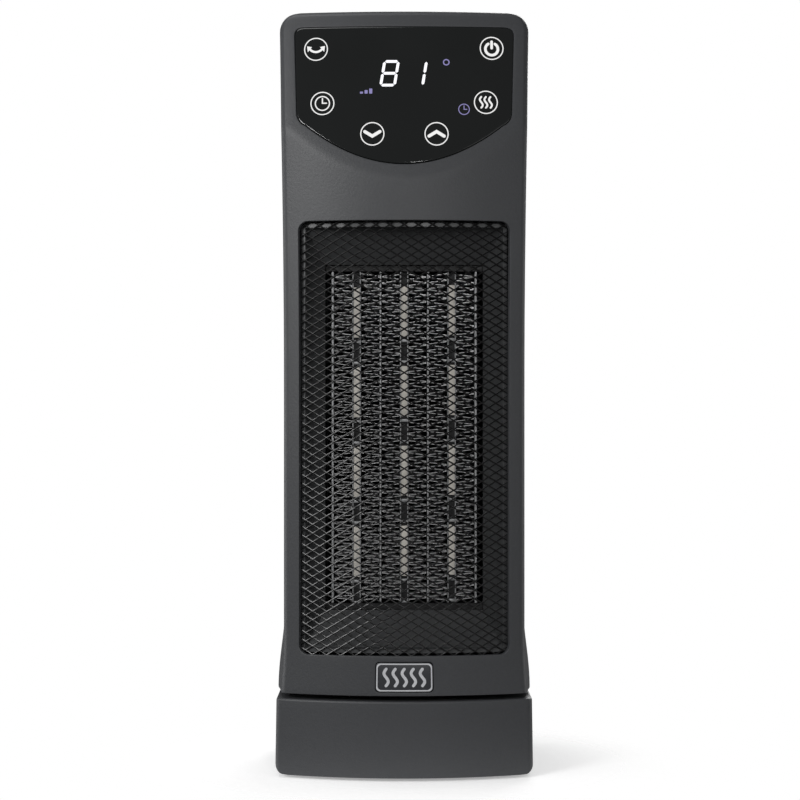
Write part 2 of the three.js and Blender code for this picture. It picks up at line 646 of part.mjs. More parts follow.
// The panel's outline as a prism through the head's face.
function throughHead(inset) {
  const options = { depth: 4 * HEAD_WALL, bevelEnabled: false, curveSegments: 6 };
  const geometry = new THREE.ExtrudeGeometry(panelOutline(inset), options).rotateX(Math.PI / 2);
  return solid(ontoHead(geometry.translate(0, 3 * HEAD_WALL, 0)));
}

function frontShell() {
  const outer = housingForm(frontHalfWidth, 0, 0, HOUSING_BOTTOM);
  const inner = housingForm(frontHalfWidth, WALL, HEAD_WALL, HOUSING_BOTTOM - 5);
  const half = cut(outer, inner).intersect(block(-FAR, FAR, -FAR, SPLIT_Y, 0, 2 * HEIGHT));
  const posts = shellScrewPlaces.map(([x, z]) => rodY(POST_RADIUS, x, z, FRONT_Y, SPLIT_Y + WELL_BACK, 12));
  const form = housingForm(frontHalfWidth, WALL / 2, WALL / 2, HOUSING_BOTTOM);
  const bosses = posts.map((post) => post.intersect(form));
  const bores = shellScrewPlaces.map(([x, z]) => rodY(SCREW_RADIUS + GAP, x, z, SPLIT_Y - 8, SPLIT_Y + 9, 8));
  const window = prismY(windowOutline(), -FAR, SPLIT_Y - 2);
  const seat = throughHead(0).intersect(headLayer(-5, PANEL_SINK + PANEL_THICKNESS + GAP));
  const opening = throughHead(PANEL_LEDGE);
  const badgeSeat = badgeForm(GAP, -5, BADGE_SINK + GAP);
  return cut(join(half, ...bosses), ...bores, window, seat, opening, badgeSeat);
}

function badgeForm(spread, near, far) {
  const centre = HOUSING_BOTTOM + SILL / 2 - 0.5;
  const half = BADGE_WIDTH / 2 + spread;
  const rise = Math.min(BADGE_HEIGHT, SILL - 4) / 2 + spread;
  const outline = roundedRect(-half, half, centre - rise, centre + rise, 2);
  return prismY(outline, FRONT_Y - 10, FRONT_Y + 10, 4).intersect(frontLayer(near, far, half + 2, 0, HEIGHT));
}

function intakeOutline(inset) {
  const half = HALF_WIDTH - INTAKE_MARGIN - inset;
  const low = HOUSING_BOTTOM + INTAKE_LOW + inset;
  const high = CREASE_Z - INTAKE_HIGH - inset;
  return roundedRect(-half, half, low, high, INTAKE_CORNER - Math.min(inset, INTAKE_CORNER / 2));
}

// Finger pocket under the rear of the head, walled on the inside.
function handlePocket(spread) {
  const high = HEIGHT - HANDLE_DROP + spread;
  const low = HEIGHT - HANDLE_DROP - HANDLE_HEIGHT - spread;
  const outline = roundedRect(-HANDLE_HALF_WIDTH - spread, HANDLE_HALF_WIDTH + spread, low, high, 8);
  return prismY(outline, REAR_Y - REAR_SLOPE / 2 - HANDLE_DEPTH - spread, REAR_Y + 20, 5);
}

function rearShell() {
  const outer = housingForm(rearHalfWidth, 0, 0, HOUSING_BOTTOM);
  const inner = housingForm(rearHalfWidth, WALL, HEAD_WALL, HOUSING_BOTTOM - 5);
  const half = cut(outer, inner).intersect(block(-FAR, FAR, SPLIT_Y + GAP, FAR, 0, 2 * HEIGHT));
  const wellStart = SPLIT_Y + WELL_BACK + GAP;
  const wells = shellScrewPlaces.map(([x, z]) => rodY(POST_RADIUS, x, z, wellStart, REAR_Y - WALL / 2, 12));
  const boreRadius = SCREW_HEAD_RADIUS + GAP;
  const wellBores = shellScrewPlaces.map(([x, z]) => rodY(boreRadius, x, z, SCREW_SEAT_Y, FAR, 12));
  const bores = shellScrewPlaces.map(([x, z]) => rodY(SCREW_RADIUS + GAP, x, z, SPLIT_Y, FAR, 8));
  const intake = prismY(intakeOutline(0), REAR_Y - 2 * WALL, FAR, 5);
  const pocketWall = handlePocket(WALL).intersect(outer);
  const halfRocker = ROCKER_HALF_WIDTH + SWITCH_CASE_WALL + GAP;
  const halfHole = ROCKER_HALF_HEIGHT + SWITCH_CASE_WALL + GAP;
  const rise = HOUSING_BOTTOM + ROCKER_RISE;
  const rockerHole = block(
    ROCKER_X - halfRocker,
    ROCKER_X + halfRocker,
    REAR_Y - 2 * WALL,
    FAR,
    rise - halfHole,
    rise + halfHole,
  );
  return cut(join(half, ...wells, pocketWall), ...wellBores, ...bores, intake, handlePocket(0), rockerHole);
}

// ---------------------------------------------------------------- Turntable

function turntable() {
  const outline = planOutline(HALF_WIDTH, FRONT_Y, REAR_Y, WALL + GAP);
  const plate = prismZ(outline, HOUSING_BOTTOM, HOUSING_BOTTOM + TABLE);
  const hub = rodZ(HUB_RADIUS, 0, 0, HUB_BOTTOM, HOUSING_BOTTOM + 1, 24);
  const bore = rodZ(HUB_RADIUS - HUB_WALL, 0, 0, 0, HEIGHT, 32);
  return cut(join(plate, hub), bore);
}

const hubRetainer = () => {
  const low = HUB_BOTTOM + 0.5;
  return ring(HUB_RADIUS + RETAINER_RIM, HUB_RADIUS + GAP, low, low + RETAINER_HEIGHT);
};
const thrustRing = () => {
  const inner = HUB_RADIUS + THRUST_CLEAR;
  return ring(inner + THRUST_WIDTH, inner, BASE_TOP + GAP, HOUSING_BOTTOM - GAP);
};

// ---------------------------------------------------------------- Air outlet

// Expanded-metal grille: a sheet bent to the front's curve, with a lattice of diamond holes.
function frontGrille() {
  const half = WINDOW_HALF + GRILLE_LAP;
  const outline = roundedRect(-half, half, WINDOW_LOW - GRILLE_LAP, WINDOW_HIGH + GRILLE_LAP, WINDOW_CORNER);
  const layer = frontLayer(WALL + GAP, GRILLE_BACK, half + 1, 0, HEIGHT);
  const sheet = layer.intersect(prismY(outline, -FAR, 0, 3));
  const stepX = WINDOW_HALF / GRILLE_CELLS_ACROSS;
  const stepZ = WINDOW_RISE / GRILLE_CELLS_UP;
  const across = stepX - GRILLE_STRAND;
  const up = stepZ - (GRILLE_STRAND * stepZ) / stepX;
  const holes = [];
  for (let i = 1 - GRILLE_CELLS_ACROSS; i < GRILLE_CELLS_ACROSS; i += 1) {
    for (let k = 1 - GRILLE_CELLS_UP; k < GRILLE_CELLS_UP; k += 1) {
      const x = i * stepX;
      const z = WINDOW_Z + k * stepZ;
      const diamond = [[x + across, z], [x, z + up], [x - across, z], [x, z - up]];
      if ((i + k) % 2 === 0) holes.push(prismY(polygon(diamond), -FAR, 0));
    }
  }
  return cut(sheet, ...holes);
}

// A rectangular tube along Y whose half sizes change from station to station.
function rectTube(stations) {
  const square = polygon([
    [-1, -1],
    [1, -1],
    [1, 1],
    [-1, 1],
  ]);
  const sizes = new Map(stations.map(([y, half, rise]) => [-y, [half, rise]]));
  const along = [...sizes.keys()].sort((a, b) => a - b);
  const place = (x, y, station) => [x * sizes.get(station)[0], y * sizes.get(station)[1]];
  const geometry = loft(square, along, place).rotateX(Math.PI / 2);
  return solid(geometry.translate(0, 0, WINDOW_Z));
}

function outletDuct() {
  const mouthHalf = WINDOW_HALF - DUCT_MARGIN;
  const mouthRise = WINDOW_RISE - DUCT_MARGIN;
  const mouthY = THROAT_Y - DUCT_FLARE_SIDE + 1;
  const tube = (spread, over) =>
    rectTube([
      [FRONT_Y - 10, mouthHalf + spread, mouthRise + spread],
      [mouthY, mouthHalf + spread, mouthRise + spread],
      [THROAT_Y, THROAT_HALF + spread, THROAT_RISE + spread],
      [DUCT_BACK_Y + over, THROAT_HALF + spread, THROAT_RISE + spread],
    ]);
  const clearOfGrille = frontLayer(-20, GRILLE_BACK + GAP, HALF_WIDTH, 0, HEIGHT);
  return cut(tube(DUCT_WALL, 0), tube(0, 1), clearOfGrille);
}

// ---------------------------------------------------------------- Heater core

const PLATES = 2 * SIDE_PLATE + 2 * DIVIDER_PLATE;
const CORE_GAPS = 12 * GAP; // one between each of the core's thirteen columns
const FIN_WIDTH = (2 * CORE_HALF - PLATES - 3 * PTC_WIDTH - CORE_GAPS) / 6;

// Widths of the core's columns from left to right, with the name and number of each.
function coreColumns() {
  const group = (number) => [
    ["heater_fin", 2 * number - 1, FIN_WIDTH],
    ["ptc_strip", number, PTC_WIDTH],
    ["heater_fin", 2 * number, FIN_WIDTH],
  ];
  const columns = [["heater_plate", 1, SIDE_PLATE]];
  for (let number = 1; number <= 3; number += 1) {
    const last = number === 3;
    columns.push(...group(number), ["heater_plate", number + 1, last ? SIDE_PLATE : DIVIDER_PLATE]);
  }
  return columns;
}

// One corrugated strip, folded to and fro across its column.
function finColumn(width) {
  const folds = Math.max(4, Math.round((2 * CORE_RISE) / FIN_PITCH) * 2);
  const step = (2 * CORE_RISE) / folds;
  const edge = [];
  for (let i = 0; i <= folds; i += 1) {
    const fold = i % 2 === 0 ? -width / 2 : width / 2 - 2 * FIN_SHEET;
    edge.push([fold, -CORE_RISE + i * step]);
  }
  const back = edge.map(([x, z]) => [x + 2 * FIN_SHEET, z]).reverse();
  return prismY(polygon([...edge, ...back]), CORE_FRONT_Y, CORE_BACK_Y);
}

function coreBar(width) {
  return block(-width / 2, width / 2, CORE_FRONT_Y, CORE_BACK_Y, -CORE_RISE, CORE_RISE);
}

function heaterBracket(side) {
  const near = CORE_RISE + GAP;
  const far = THROAT_RISE - GAP;
  const z0 = WINDOW_Z + (side > 0 ? near : -far);
  const z1 = WINDOW_Z + (side > 0 ? far : -near);
  return block(-THROAT_HALF + GAP, THROAT_HALF - GAP, CORE_FRONT_Y - 1, CORE_BACK_Y + 1, z0, z1);
}

function thermalCutout() {
  const low = WINDOW_Z + THROAT_RISE + DUCT_WALL + GAP;
  const body = rodZ(CUTOUT_SIZE / 2, 0, THROAT_Y + DUCT_LENGTH / 2, low, low + 5, 20);
  const middle = THROAT_Y + DUCT_LENGTH / 2;
  const ears = block(-CUTOUT_SIZE, CUTOUT_SIZE, middle - EAR_HALF, middle + EAR_HALF, low, low + EAR_SHEET);
  return join(body, ears);
}

// ---------------------------------------------------------------- Blower

// Curved wall that opens along its turn, from the front on one side round to the rear.
function scrollWall() {
  const tight = WHEEL_RADIUS + SCROLL_CLEARANCE;
  const start = THREE.MathUtils.degToRad(-20);
  const turn = THREE.MathUtils.degToRad(95);
  const steps = 16;
  const arc = (spread) =>
    Array.from({ length: steps + 1 }, (_, i) => {
      const angle = start + (turn * i) / steps;
      const radius = tight + SCROLL_GROWTH * (1 - i / steps) + spread;
      return [radius * Math.cos(angle), WHEEL_Y + radius * Math.sin(angle)];
    });
  const mouth = [
    [THROAT_HALF, SCROLL_FRONT_Y],
    [THROAT_HALF + SCROLL_WALL, SCROLL_FRONT_Y],
  ];
  return polygon([mouth[0], mouth[1], ...arc(SCROLL_WALL), ...arc(0).reverse()]);
}

// Short wall that closes the other side of the wheel at the outlet.
function scrollTongue() {
  const near = WHEEL_RADIUS + SCROLL_CLEARANCE;
  const angle = THREE.MathUtils.degToRad(205);
  const tip = [near * Math.cos(angle), WHEEL_Y + near * Math.sin(angle)];
  return polygon([
    [-THROAT_HALF, SCROLL_FRONT_Y],
    tip,
    [tip[0] - SCROLL_WALL, tip[1] + SCROLL_WALL],
    [-THROAT_HALF - SCROLL_WALL, SCROLL_FRONT_Y + SCROLL_WALL],
    [-THROAT_HALF - SCROLL_WALL, SCROLL_FRONT_Y],
  ]);
}

function fanScroll() {
  const low = SCROLL_BOTTOM;
  const high = SCROLL_TOP;
  const half = THROAT_HALF + SCROLL_WALL;
  const rear = Math.min(WHEEL_Y + WHEEL_RADIUS + SCROLL_CLEARANCE, REAR_Y - WALL - COVER_THICKNESS - 4);
  const plate = (z0) => block(-half, half, SCROLL_FRONT_Y, rear, z0, z0 + SCROLL_END);
  const wall = prismZ(scrollWall(), low, high);
  const tongue = prismZ(scrollTongue(), low, high);
  const bearingHole = rodZ(BEARING_RADIUS + GAP, 0, WHEEL_Y, low - 1, low + SCROLL_END + 1);
  const shaftHole = rodZ(SHAFT_RADIUS + 1, 0, WHEEL_Y, high - SCROLL_END - 1, high + 1);
  return cut(join(plate(low), plate(high - SCROLL_END), wall, tongue), bearingHole, shaftHole);
}

function blowerWheel() {
  const rise = WHEEL_TOP - WHEEL_BOTTOM;
  const discs = Array.from({ length: WHEEL_DISCS }, (_, i) => {
    const z = WHEEL_BOTTOM + ((rise - WHEEL_DISC) * i) / (WHEEL_DISCS - 1);
    const hollow = i > 0 && i < WHEEL_DISCS - 1;
    const disc = rodZ(WHEEL_RADIUS - 1, 0, 0, z, z + WHEEL_DISC, 24);
    const hole = rodZ(WHEEL_RADIUS - BLADE_CHORD - 2, 0, 0, z - 1, z + WHEEL_DISC + 1, 16);
    return hollow ? cut(disc, hole) : disc;
  });
  const blades = Array.from({ length: WHEEL_BLADES }, (_, i) => {
    const blade = new THREE.BoxGeometry(BLADE_CHORD, BLADE_THICKNESS, rise - WHEEL_DISC);
    blade.rotateZ(0.5).translate(WHEEL_RADIUS - BLADE_CHORD / 2, 0, (WHEEL_TOP + WHEEL_BOTTOM) / 2);
    return solid(blade.rotateZ((2 * Math.PI * i) / WHEEL_BLADES));
  });
  const lowStub = rodZ(SHAFT_RADIUS, 0, 0, SCROLL_BOTTOM - 2, WHEEL_BOTTOM + 0.5, 16);
  const highStub = rodZ(SHAFT_RADIUS, 0, 0, WHEEL_TOP - 0.5, SCROLL_TOP + MOTOR_HEIGHT / 2, 16);
  return join(...discs, ...blades, lowStub, highStub);
}

function fanMotor() {
  const low = SCROLL_TOP + GAP;
  const can = rodZ(MOTOR_RADIUS, 0, WHEEL_Y, low, low + MOTOR_HEIGHT, 32);
  const cap = rodZ(MOTOR_RADIUS * 0.4, 0, WHEEL_Y, low + MOTOR_HEIGHT - 1, low + MOTOR_HEIGHT + 3, 20);
  return cut(join(can, cap), rodZ(SHAFT_RADIUS + GAP, 0, WHEEL_Y, low - 1, low + MOTOR_HEIGHT / 2 + 1, 16));
}

function fanBearing() {
  const low = SCROLL_BOTTOM - 3;
  const bush = rodZ(BEARING_RADIUS, 0, WHEEL_Y, low, SCROLL_BOTTOM + SCROLL_END, 20);
  const collar = rodZ(BEARING_RADIUS + 2.5, 0, WHEEL_Y, low, SCROLL_BOTTOM - GAP, 20);
  return cut(join(bush, collar), rodZ(SHAFT_RADIUS + GAP, 0, WHEEL_Y, low - 1, SCROLL_BOTTOM + 9, 16));
}

// ---------------------------------------------------------------- Control head

function controlPanel() {
  return throughHead(GAP).intersect(headLayer(PANEL_SINK, PANEL_SINK + PANEL_THICKNESS));
}

function displayBoard() {
  const half = TOP_HALF_WIDTH - HEAD_WALL - 12;
  const low = 18;
  const high = HEAD_RISE - 14;
  const board = new THREE.BoxGeometry(2 * half, BOARD, high - low);
  return ontoHead(board.translate(0, BOARD_DEPTH + BOARD / 2, (low + high) / 2));
}

function ledDisplay() {
  const near = PANEL_SINK + PANEL_THICKNESS + GAP + 0.6;
  const far = BOARD_DEPTH - GAP;
  const module = new THREE.BoxGeometry(DISPLAY_WIDTH, far - near, DISPLAY_HEIGHT);
  return ontoHead(module.translate(0, (near + far) / 2, HEAD_RISE / 2 + 8));
}

function powerBoard() {
  const half = TOP_HALF_WIDTH - 20;
  const high = HEIGHT - 24;
  return block(-half, half, POWER_BOARD_Y, POWER_BOARD_Y + BOARD, high - POWER_BOARD_RISE, high);
}

function relay() {
  const face = POWER_BOARD_Y - GAP;
  const z = HEIGHT - 24 - POWER_BOARD_RISE / 2;
  return block(-RELAY - 10, -10, face - RELAY, face, z - RELAY / 2, z + RELAY / 2);
}

function badge() {
  return badgeForm(0, -BADGE_PROUD, BADGE_SINK);
}

// ---------------------------------------------------------------- Rear cover and switch

function intakeCover() {
  const half = HALF_WIDTH - INTAKE_MARGIN - GAP - COVER_RIM;
  const low = HOUSING_BOTTOM + INTAKE_LOW + GAP + COVER_RIM;
  const high = CREASE_Z - INTAKE_HIGH - GAP - COVER_RIM;
  const count = Math.floor((high - low + LOUVRE) / (2 * LOUVRE));
  const pitch = (high - low + LOUVRE) / count;
  const slots = Array.from({ length: count }, (_, i) => {
    const z = low + i * pitch;
    return [-1, 1].map((side) => {
      const inner = side * COVER_SPINE;
      const outer = side * half;
      return block(Math.min(inner, outer), Math.max(inner, outer), 0, FAR, z, z + pitch - LOUVRE);
    });
  });
  return cut(prismY(intakeOutline(GAP), REAR_Y - COVER_THICKNESS, REAR_Y, 5), ...slots.flat());
}

function filterMesh() {
  const outline = intakeOutline(GAP + 1);
  const back = REAR_Y - COVER_THICKNESS - GAP;
  return prismY(outline, back - FILTER_THICKNESS, back, 5);
}

// The rocker's pivot is on its own axis behind the shell's face.
const ROCKER_Y = REAR_Y - ROCKER_DEPTH;
const ROCKER_Z = HOUSING_BOTTOM + ROCKER_RISE;

function powerRocker() {
  const face = REAR_Y + ROCKER_STANDOUT - ROCKER_Y;
  const h = ROCKER_HALF_HEIGHT;
  const outline = polygon([
    [-2, -2],
    [-2, 2],
    [ROCKER_DEPTH - 1.5, h - 0.4],
    [face, h - 0.8],
    [face - 1.6, 0],
    [face + 0.6, -h + 0.8],
    [ROCKER_DEPTH - 1.5, -h + 0.4],
  ]);
  const body = prismX(outline, -ROCKER_HALF_WIDTH + 0.5, ROCKER_HALF_WIDTH - 0.5);
  return body;
}

function powerSwitchCase() {
  const halfX = ROCKER_HALF_WIDTH + SWITCH_CASE_WALL;
  const halfZ = ROCKER_HALF_HEIGHT + SWITCH_CASE_WALL;
  const back = REAR_Y - SWITCH_CASE_DEPTH;
  const [left, right] = [ROCKER_X - halfX, ROCKER_X + halfX];
  const shell = block(left, right, back, REAR_Y - 0.2, ROCKER_Z - halfZ, ROCKER_Z + halfZ);
  const flangeX = halfX + 1.5;
  const flangeZ = halfZ + 1.5;
  const flange = block(
    ROCKER_X - flangeX,
    ROCKER_X + flangeX,
    REAR_Y + GAP,
    REAR_Y + GAP + 0.8,
    ROCKER_Z - flangeZ,
    ROCKER_Z + flangeZ,
  );
  const neck = block(left, right, back, REAR_Y + GAP + 0.4, ROCKER_Z - halfZ, ROCKER_Z + halfZ);
  const well = block(
    ROCKER_X - ROCKER_HALF_WIDTH,
    ROCKER_X + ROCKER_HALF_WIDTH,
    ROCKER_Y - 7,
    FAR,
    ROCKER_Z - ROCKER_HALF_HEIGHT - 0.3,
    ROCKER_Z + ROCKER_HALF_HEIGHT + 0.3,
  );
  return cut(join(shell, neck, flange), well);
}

// ---------------------------------------------------------------- Materials

function material(color, roughness, metalness = 0) {
  return new THREE.MeshStandardMaterial({ color, roughness, metalness });
}

const charcoal = material(0x45474a, 0.5);
const black = material(0x141416, 0.45);
const gloss = material(0x0b0b0d, 0.08);
const rubber = material(0x1b1b1c, 0.85);
const aluminium = material(0xb9bcc0, 0.35, 1);
const steel = material(0x8d9094, 0.35, 1);
const blackSteel = material(0x17181a, 0.45, 0.6);
const ceramic = material(0xcfc8b8, 0.6);
const greenBoard = material(0x1d4a2c, 0.5);
const white = material(0xe2e2de, 0.5);
const brass = material(0xb08d4a, 0.35, 1);

// ---------------------------------------------------------------- Assembly

const heater = new THREE.Group();

function add(name, shape, finish, parent = heater) {
  const geometry = shape.isBufferGeometry ? shape : geometryOf(shape);
  const mesh = new THREE.Mesh(geometry, finish);
  mesh.name = name;
  parent.add(mesh);
  return mesh;
}

// Base
add("base_shell", baseShell(), charcoal);
add("base_plate", basePlate(), black);
const footNames = ["foot_front_left", "foot_front_right", "foot_rear_left", "foot_rear_right"];
footPlaces.forEach(([x, y], i) => {
  const form = new THREE.CylinderGeometry(FOOT_RADIUS, FOOT_RADIUS, FOOT_THICKNESS, 20);
  const foot = add(footNames[i], form, rubber);
  foot.rotation.x = Math.PI / 2;
  foot.position.set(x, y, FOOT_THICKNESS / 2);
});
baseScrewPlaces.forEach(([x, y], i) => {
  const fastener = add(`base_screw_${i + 1}`, screw(), steel);
  fastener.position.set(x, y, PLATE_TOP - 0.8 - SCREW_HEAD_HEIGHT - GAP);
});
add("oscillation_motor", oscillationMotor(), steel);
const pinion = add("drive_pinion", drivePinion(), white);
pinion.position.x = DRIVE_X;
add("thrust_ring", thrustRing(), white);
add("tip_plunger", tipPlunger(), white);
const SPRING_LOW = PLATE_TOP + GAP + 6 + GAP;
add("tip_spring", tipSpring(SPRING_LOW), steel);
add("tip_switch", tipSwitch(Math.max(SPRING_LOW + TIP_SPRING_HEIGHT + GAP, PLUNGER_LENGTH + GAP + 1)), black);
add("cord_gland", cordGland(), rubber);

// Turntable
add("turntable", turntable(), black);
add("oscillation_gear", oscillationGear(), white);
add("hub_retainer", hubRetainer(), steel);

// Shells
add("front_shell", frontShell(), charcoal);
add("rear_shell", rearShell(), charcoal);
shellScrewPlaces.forEach(([x, z], i) => {
  const fastener = add(`shell_screw_${i + 1}`, screw(), steel);
  fastener.rotation.x = Math.PI / 2;
  fastener.position.set(x, SCREW_SEAT_Y + SCREW_HEAD_HEIGHT + GAP, z);
});
add("badge", badge(), steel);

// Air outlet and heater core
add("front_grille", frontGrille(), blackSteel);
add("outlet_duct", outletDuct(), black);
add("heater_bracket_bottom", heaterBracket(-1), black);
add("heater_bracket_top", heaterBracket(1), black);
let columnX = -CORE_HALF;
for (const [name, number, width] of coreColumns()) {
  const finish = name === "ptc_strip" ? ceramic : aluminium;
  const shape = name === "heater_fin" ? finColumn(width) : coreBar(width);
  const column = add(`${name}_${number}`, shape, finish);
  column.position.set(columnX + width / 2, 0, WINDOW_Z);
  columnX += width + GAP;
}
add("thermal_cutout", thermalCutout(), brass);

// Blower
add("fan_scroll", fanScroll(), black);
const wheel = add("blower_wheel", blowerWheel(), black);
wheel.position.y = WHEEL_Y;
add("fan_motor", fanMotor(), steel);
add("fan_bearing", fanBearing(), brass);

// Control head
add("control_panel", controlPanel(), gloss);
add("display_board", displayBoard(), greenBoard);
add("led_display", ledDisplay(), black);
add("power_board", powerBoard(), greenBoard);
add("relay", relay(), black);

// Rear
add("intake_cover", intakeCover(), charcoal);
add("filter_mesh", filterMesh(), black);
add("power_switch_case", powerSwitchCase(), black);
const rocker = add("power_rocker", powerRocker(), black);
rocker.position.set(ROCKER_X, ROCKER_Y, ROCKER_Z);

export default heater;
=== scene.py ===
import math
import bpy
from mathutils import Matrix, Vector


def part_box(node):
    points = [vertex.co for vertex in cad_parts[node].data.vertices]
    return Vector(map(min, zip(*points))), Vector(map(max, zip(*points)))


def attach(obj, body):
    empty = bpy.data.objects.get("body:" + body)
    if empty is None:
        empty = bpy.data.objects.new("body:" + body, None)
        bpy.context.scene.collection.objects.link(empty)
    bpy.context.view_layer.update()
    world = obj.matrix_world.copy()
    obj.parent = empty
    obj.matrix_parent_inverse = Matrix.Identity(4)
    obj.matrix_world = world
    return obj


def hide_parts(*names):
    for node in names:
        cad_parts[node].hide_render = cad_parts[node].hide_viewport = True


bl_info = {
    "name": "Ceramic tower heater",
    "version": (1, 0, 0),
    "blender": (4, 5, 0),
    "location": "View3D > Sidebar > Heater",
    "description": "Models an oscillating ceramic tower heater piece by piece around its packed frame",
    "category": "Add Mesh",
}

import bmesh
import bpy
from bpy.props import FloatProperty, FloatVectorProperty, IntProperty, PointerProperty
from mathutils import Matrix, Vector

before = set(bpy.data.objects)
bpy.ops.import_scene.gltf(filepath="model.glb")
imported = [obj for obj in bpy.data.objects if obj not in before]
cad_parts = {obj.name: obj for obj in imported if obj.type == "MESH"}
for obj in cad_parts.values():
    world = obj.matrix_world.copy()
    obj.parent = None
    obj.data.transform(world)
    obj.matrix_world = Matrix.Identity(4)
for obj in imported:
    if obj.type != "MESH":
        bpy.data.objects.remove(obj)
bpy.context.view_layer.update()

MM = 0.001
SHELL_LOW, SHELL_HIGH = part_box("front_shell")
REAR_LOW, REAR_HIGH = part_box("rear_shell")
BASE_LOW, BASE_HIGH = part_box("base_shell")
GRILLE_LOW, GRILLE_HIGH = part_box("front_grille")
COVER_LOW, COVER_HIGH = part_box("intake_cover")
PANEL_LOW, PANEL_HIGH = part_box("control_panel")

FRONT_Y = SHELL_LOW.y
REAR_Y = REAR_HIGH.y
BOTTOM_Z = SHELL_LOW.z
TOP_Z = SHELL_HIGH.z
SPLIT_Y = REAR_LOW.y
GRILLE_LAP = 3 * MM
WINDOW_HALF = GRILLE_HIGH.x - GRILLE_LAP
WINDOW_LOW = GRILLE_LOW.z + GRILLE_LAP
WINDOW_HIGH = GRILLE_HIGH.z - GRILLE_LAP
BADGE_Z = 53.4 * MM
FOOT_FLARE = 54 * MM  # height above the foot over which the shells widen
FOOT_ROUND = 0.6 * MM
HAND_CORNER = 8 * MM
WELL_BORE = 3.1 * MM
WELLS = [(x * MM, z * MM) for x in (-46.2, 46.2) for z in (53.7, 299)]
CAP = 10 * MM  # length of pattern that becomes the flat top
TOUCHING = 1e-7  # places this close, in metres, are the same
SAME_PLANE = 0.002  # faces turned less than this, in radians, become one


# ------------------------------------------------------------------ sizes and colours


def length(name, description, default):
    """A length property in metres, from a default in millimetres."""
    return FloatProperty(name=name, description=description, default=default * MM, unit="LENGTH", precision=5)


def colour(name, description, default):
    """A colour property."""
    return FloatVectorProperty(name=name, description=description, default=default, subtype="COLOR", size=3)


class HeaterSizes(bpy.types.PropertyGroup):
    """Sizes that shape the heater's skins and details"""

    waist: length("Waist", "Half width of the housing at its waist", 62.7)
    front_radius: length("Front radius", "Radius of the convex front in plan", 159)
    head_radius: length("Head radius", "Radius of the head's face in plan", 372)
    head_tilt: FloatProperty(
        name="Head tilt", description="How far the head leans back", default=math.radians(13), subtype="ANGLE"
    )
    head_rise: length("Head rise", "Top of the head above the lowest point of its crease", 90)
    front_edge: length("Front edge", "Rounding of the front's upright edges", 4.5)
    rear_edge: length("Rear edge", "Rounding of the rear's upright edges", 17)
    top_corner: length("Top corner", "Rounding of the head's top corners", 10.5)
    top_edge: length("Top edge", "Rounding of the head's front top edge", 3.4)
    wall: length("Wall", "Thickness of the moulded shells", 2.5)
    lip: length("Lip", "Rounding of edges round openings", 0.5)
    window_corner: length("Window corner", "Rounding of the grille window's corners", 5)
    cell_width: length("Cell width", "Width of one diamond of the expanded metal", 7.45)
    cell_height: length("Cell height", "Height of one diamond of the expanded metal", 4.5)
    strand: length("Strand", "Width of the expanded metal's strands", 0.74)
    fin_pitch: length("Fin pitch", "One full wave of the corrugated fins", 3.25)
    fin_sheet: length("Fin sheet", "Thickness of the fins' sheet", 0.22)
    stone: length("Stone", "Length of one ceramic stone", 26.5)
    stone_space: length("Stone space", "Space between two ceramic stones", 15.6)
    louvre_pitch: length("Louvre pitch", "Spacing of the intake louvres", 4.6)
    blades: IntProperty(name="Blades", description="Blades of the blower wheel", default=32, min=8)


class HeaterColours(bpy.types.PropertyGroup):
    """Colours of the heater's finishes"""

    housing: colour("Housing", "Charcoal moulded plastic", (0.046, 0.048, 0.052))
    black: colour("Black", "Black moulded plastic", (0.012, 0.012, 0.013))
    panel: colour("Panel", "Polished touch panel", (0.0085, 0.0095, 0.0095))
    print_white: colour("Print", "Symbols of the touch keys", (0.95, 0.95, 0.94))
    glow: colour("Digits", "Light of the display's digits", (0.95, 0.95, 1.0))
    violet: colour("Small symbols", "Light of the display's small symbols", (0.33, 0.3, 0.62))
    fin: colour("Fins", "Corrugated fins of the core", (0.95, 0.95, 0.96))
    metal: colour("Aluminium", "Plates and rails of the core", (0.8, 0.81, 0.82))
    stone: colour("Ceramic", "Stones of the core", (0.86, 0.82, 0.75))
    floor: colour("Floor", "Floor of the stage", (0.9, 0.9, 0.9))


def sizes():
    return bpy.context.scene.heater_sizes


def colours():
    return bpy.context.scene.heater_colours


# ------------------------------------------------------------------ shader maths


OBJECT_PLACE = 3  # the Texture Coordinate node's Object output
COLOUR_A, COLOUR_B, MIXED_COLOUR = 6, 7, 2  # the Mix node's colour sockets


class Wire:
    """A shader value that Python's operators work on."""

    def __init__(self, finish, socket):
        self.finish, self.socket = finish, socket

    def maths(self, operation, *values):
        return self.finish.node("ShaderNodeMath", {"operation": operation}, *values)

    def __add__(self, other):
        return self.maths("ADD", self, other)

    def __sub__(self, other):
        return self.maths("SUBTRACT", self, other)

    def __rsub__(self, other):
        return self.maths("SUBTRACT", other, self)

    def __mul__(self, other):
        return self.maths("MULTIPLY", self, other)

    def __gt__(self, other):
        return self.maths("GREATER_THAN", self, other)

    __radd__ = __add__
    __rmul__ = __mul__


